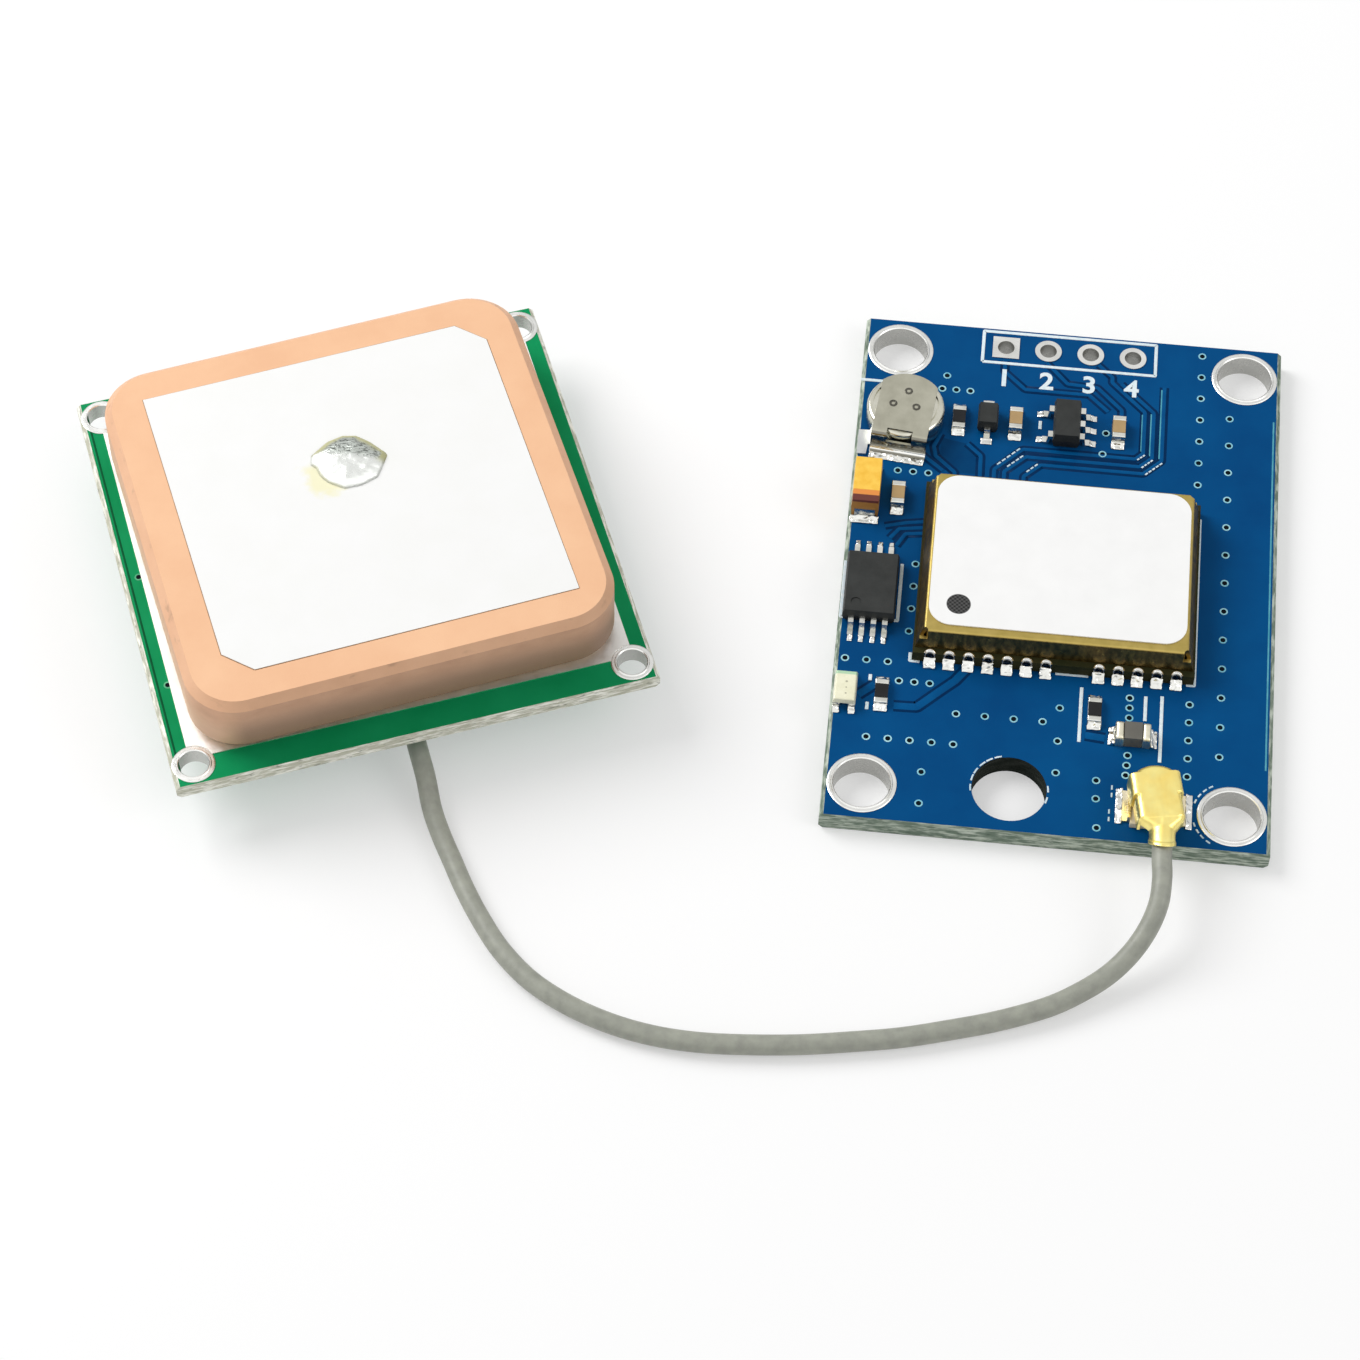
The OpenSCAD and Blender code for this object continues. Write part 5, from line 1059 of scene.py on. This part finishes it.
def outline(node):
    """Closed outline of a node seen from above, in millimetres."""
    points = [v.co.xy / MM for v in NODES[node].data.vertices]
    loop = [tuple(points[i]) for i in geometry.convex_hull_2d(points)]
    return loop + loop[:1]


def add_antenna_lines(tree):
    """Thin lines on the antenna's board and round its electrode."""
    turn = Matrix.Rotation(math.radians(ANTENNA_TURN), 2)
    reach = ANTENNA_BORDER
    centre = middle("antenna_board").xy
    border = [tuple(turn @ Vector((-reach, side * reach)) + centre) for side in (-1, 1)]
    dark = lacquer("lacquer_over_green_laminate", srgb(8, 92, 56), srgb(4, 80, 48), 0.34)
    fired = lacquer("fired_edge", srgb(176, 138, 104), srgb(140, 108, 82), 0.6)
    board = high("antenna_board").z
    patch = high("ceramic_patch").z
    rim = outline("patch_electrode")
    add_line("antenna_border", tree, [border], board, BORDER_SIZES, dark)
    add_line("electrode_edge", tree, [rim], patch, FIRED_SIZES, fired)


# Room: the floor's half width and drop, its own glow, the light it and the object get, all of it white
FLOOR_HALF = 1.5
FLOOR_DROP = 0.02
FLOOR_GLOW = 0.36
ROOM_FILL = 0.55
ROOM_FRONT = 1.25
ROOM_REAR = 0.86
ROOM_HORIZON = 0.3

# Softboxes: name, place in millimetres, width in metres, power
LAMPS = (("key", (-280, 120, 260), 0.24, 1.00), ("side", (260, -60, 220), 0.20, 0.20))
LAMP_AIM = (-20, -5, 0)


def seen_rays(tree):
    """1 for rays that show the background: straight, mirrored or through glass."""
    camera = tree.node("ShaderNodeLightPath", out="Is Camera Ray")
    glossy = tree.node("ShaderNodeLightPath", out="Is Glossy Ray")
    through = tree.node("ShaderNodeLightPath", out="Is Transmission Ray")
    return tree.math("MAXIMUM", tree.math("MAXIMUM", camera, glossy), through)


def add_studio():
    """Pale floor and white room, two softboxes."""
    floor_mesh = bpy.data.meshes.new("floor")
    corners = [(x * FLOOR_HALF, y * FLOOR_HALF, 0) for x, y in ((-1, -1), (1, -1), (1, 1), (-1, 1))]
    floor_mesh.from_pydata(corners, [], [(0, 1, 2, 3)])
    floor_mesh.transform(Matrix.Translation((0, 0, -FLOOR_DROP * MM)))
    floor = linked("floor", floor_mesh)
    f = Finish("floor")
    f.set({"Base Color": (0.97, 0.97, 0.97, 1), "Roughness": 0.9, "Specular IOR Level": 0.0})
    seen = seen_rays(f)
    glow = f.node("ShaderNodeEmission", {}, {"Color": (1, 1, 1, 1), "Strength": 1.0})
    surface = Value(f, f.shader.outputs[0])
    blend = f.node("ShaderNodeMixShader", {}, {0: seen * FLOOR_GLOW, 1: surface, 2: glow})
    f.tree.links.new(blend.socket, f.tree.nodes["Material Output"].inputs["Surface"])
    floor_mesh.materials.append(f.material)

    world = bpy.data.worlds.new("room")
    bpy.context.scene.world = world
    world.use_nodes = True
    w = Tree(world.node_tree)
    sight = seen_rays(w)
    direct = w.node("ShaderNodeLightPath", out="Is Camera Ray")
    way = w.node("ShaderNodeTexCoord", out="Generated")
    toward = w.node("ShaderNodeSeparateXYZ", {}, {0: way}, "Y")
    gradient = w.node("ShaderNodeMapRange", {"interpolation_type": "SMOOTHSTEP"},
                      {0: toward, 1: -0.6, 2: 0.2, 3: ROOM_FRONT, 4: ROOM_REAR})
    upward = w.node("ShaderNodeSeparateXYZ", {}, {0: way}, "Z")
    horizon = w.node("ShaderNodeMapRange", {"interpolation_type": "SMOOTHSTEP"},
                     {0: upward, 1: 0.0, 2: 0.4, 3: ROOM_HORIZON, 4: 1.0})
    mirror = direct + (1 - direct) * gradient * horizon
    strength = sight * mirror + (1 - sight) * ROOM_FILL
    ground = world.node_tree.nodes["Background"]
    ground.inputs["Color"].default_value = (1, 1, 1, 1)
    world.node_tree.links.new(strength.socket, ground.inputs["Strength"])

    for name, at, size, power in LAMPS:
        data = bpy.data.lights.new(name, "AREA")
        data.shape = "DISK"
        data.size = size
        data.energy = power
        lamp = linked(name, data)
        lamp.location = metres(at)
        lamp.rotation_mode = "QUATERNION"
        lamp.rotation_quaternion = (metres(LAMP_AIM) - metres(at)).to_track_quat("-Z", "Y")


add_camera()
feed_at = middle("feed_solder")
shared = dress(feed_at)
shell = eased("plug_skin", "plug_shell", shared["gold"], voxel=0.035, rounds=4)
lead = add_lead()
lead.data.materials.append(cable_jacket())
add_studio()
lines = line_tree()
add_tracks(lines)
add_vias()
add_ink(lines)
add_antenna_lines(lines)
solder = shared["solder"]
eased("module_joints", "module_solder", solder, voxel=0.045, ripple=0.07, ripple_size=0.25)
eased("part_joints", "part_solder", solder, voxel=0.045, ripple=0.08, ripple_size=0.25)
eased("inductor_caps", "inductor_ends", shared["ivory"], voxel=0.05, rounds=8)
add_feed_joint()
add_sleeves(shared["tin"])

bpy.context.scene.view_settings.view_transform = "Standard"
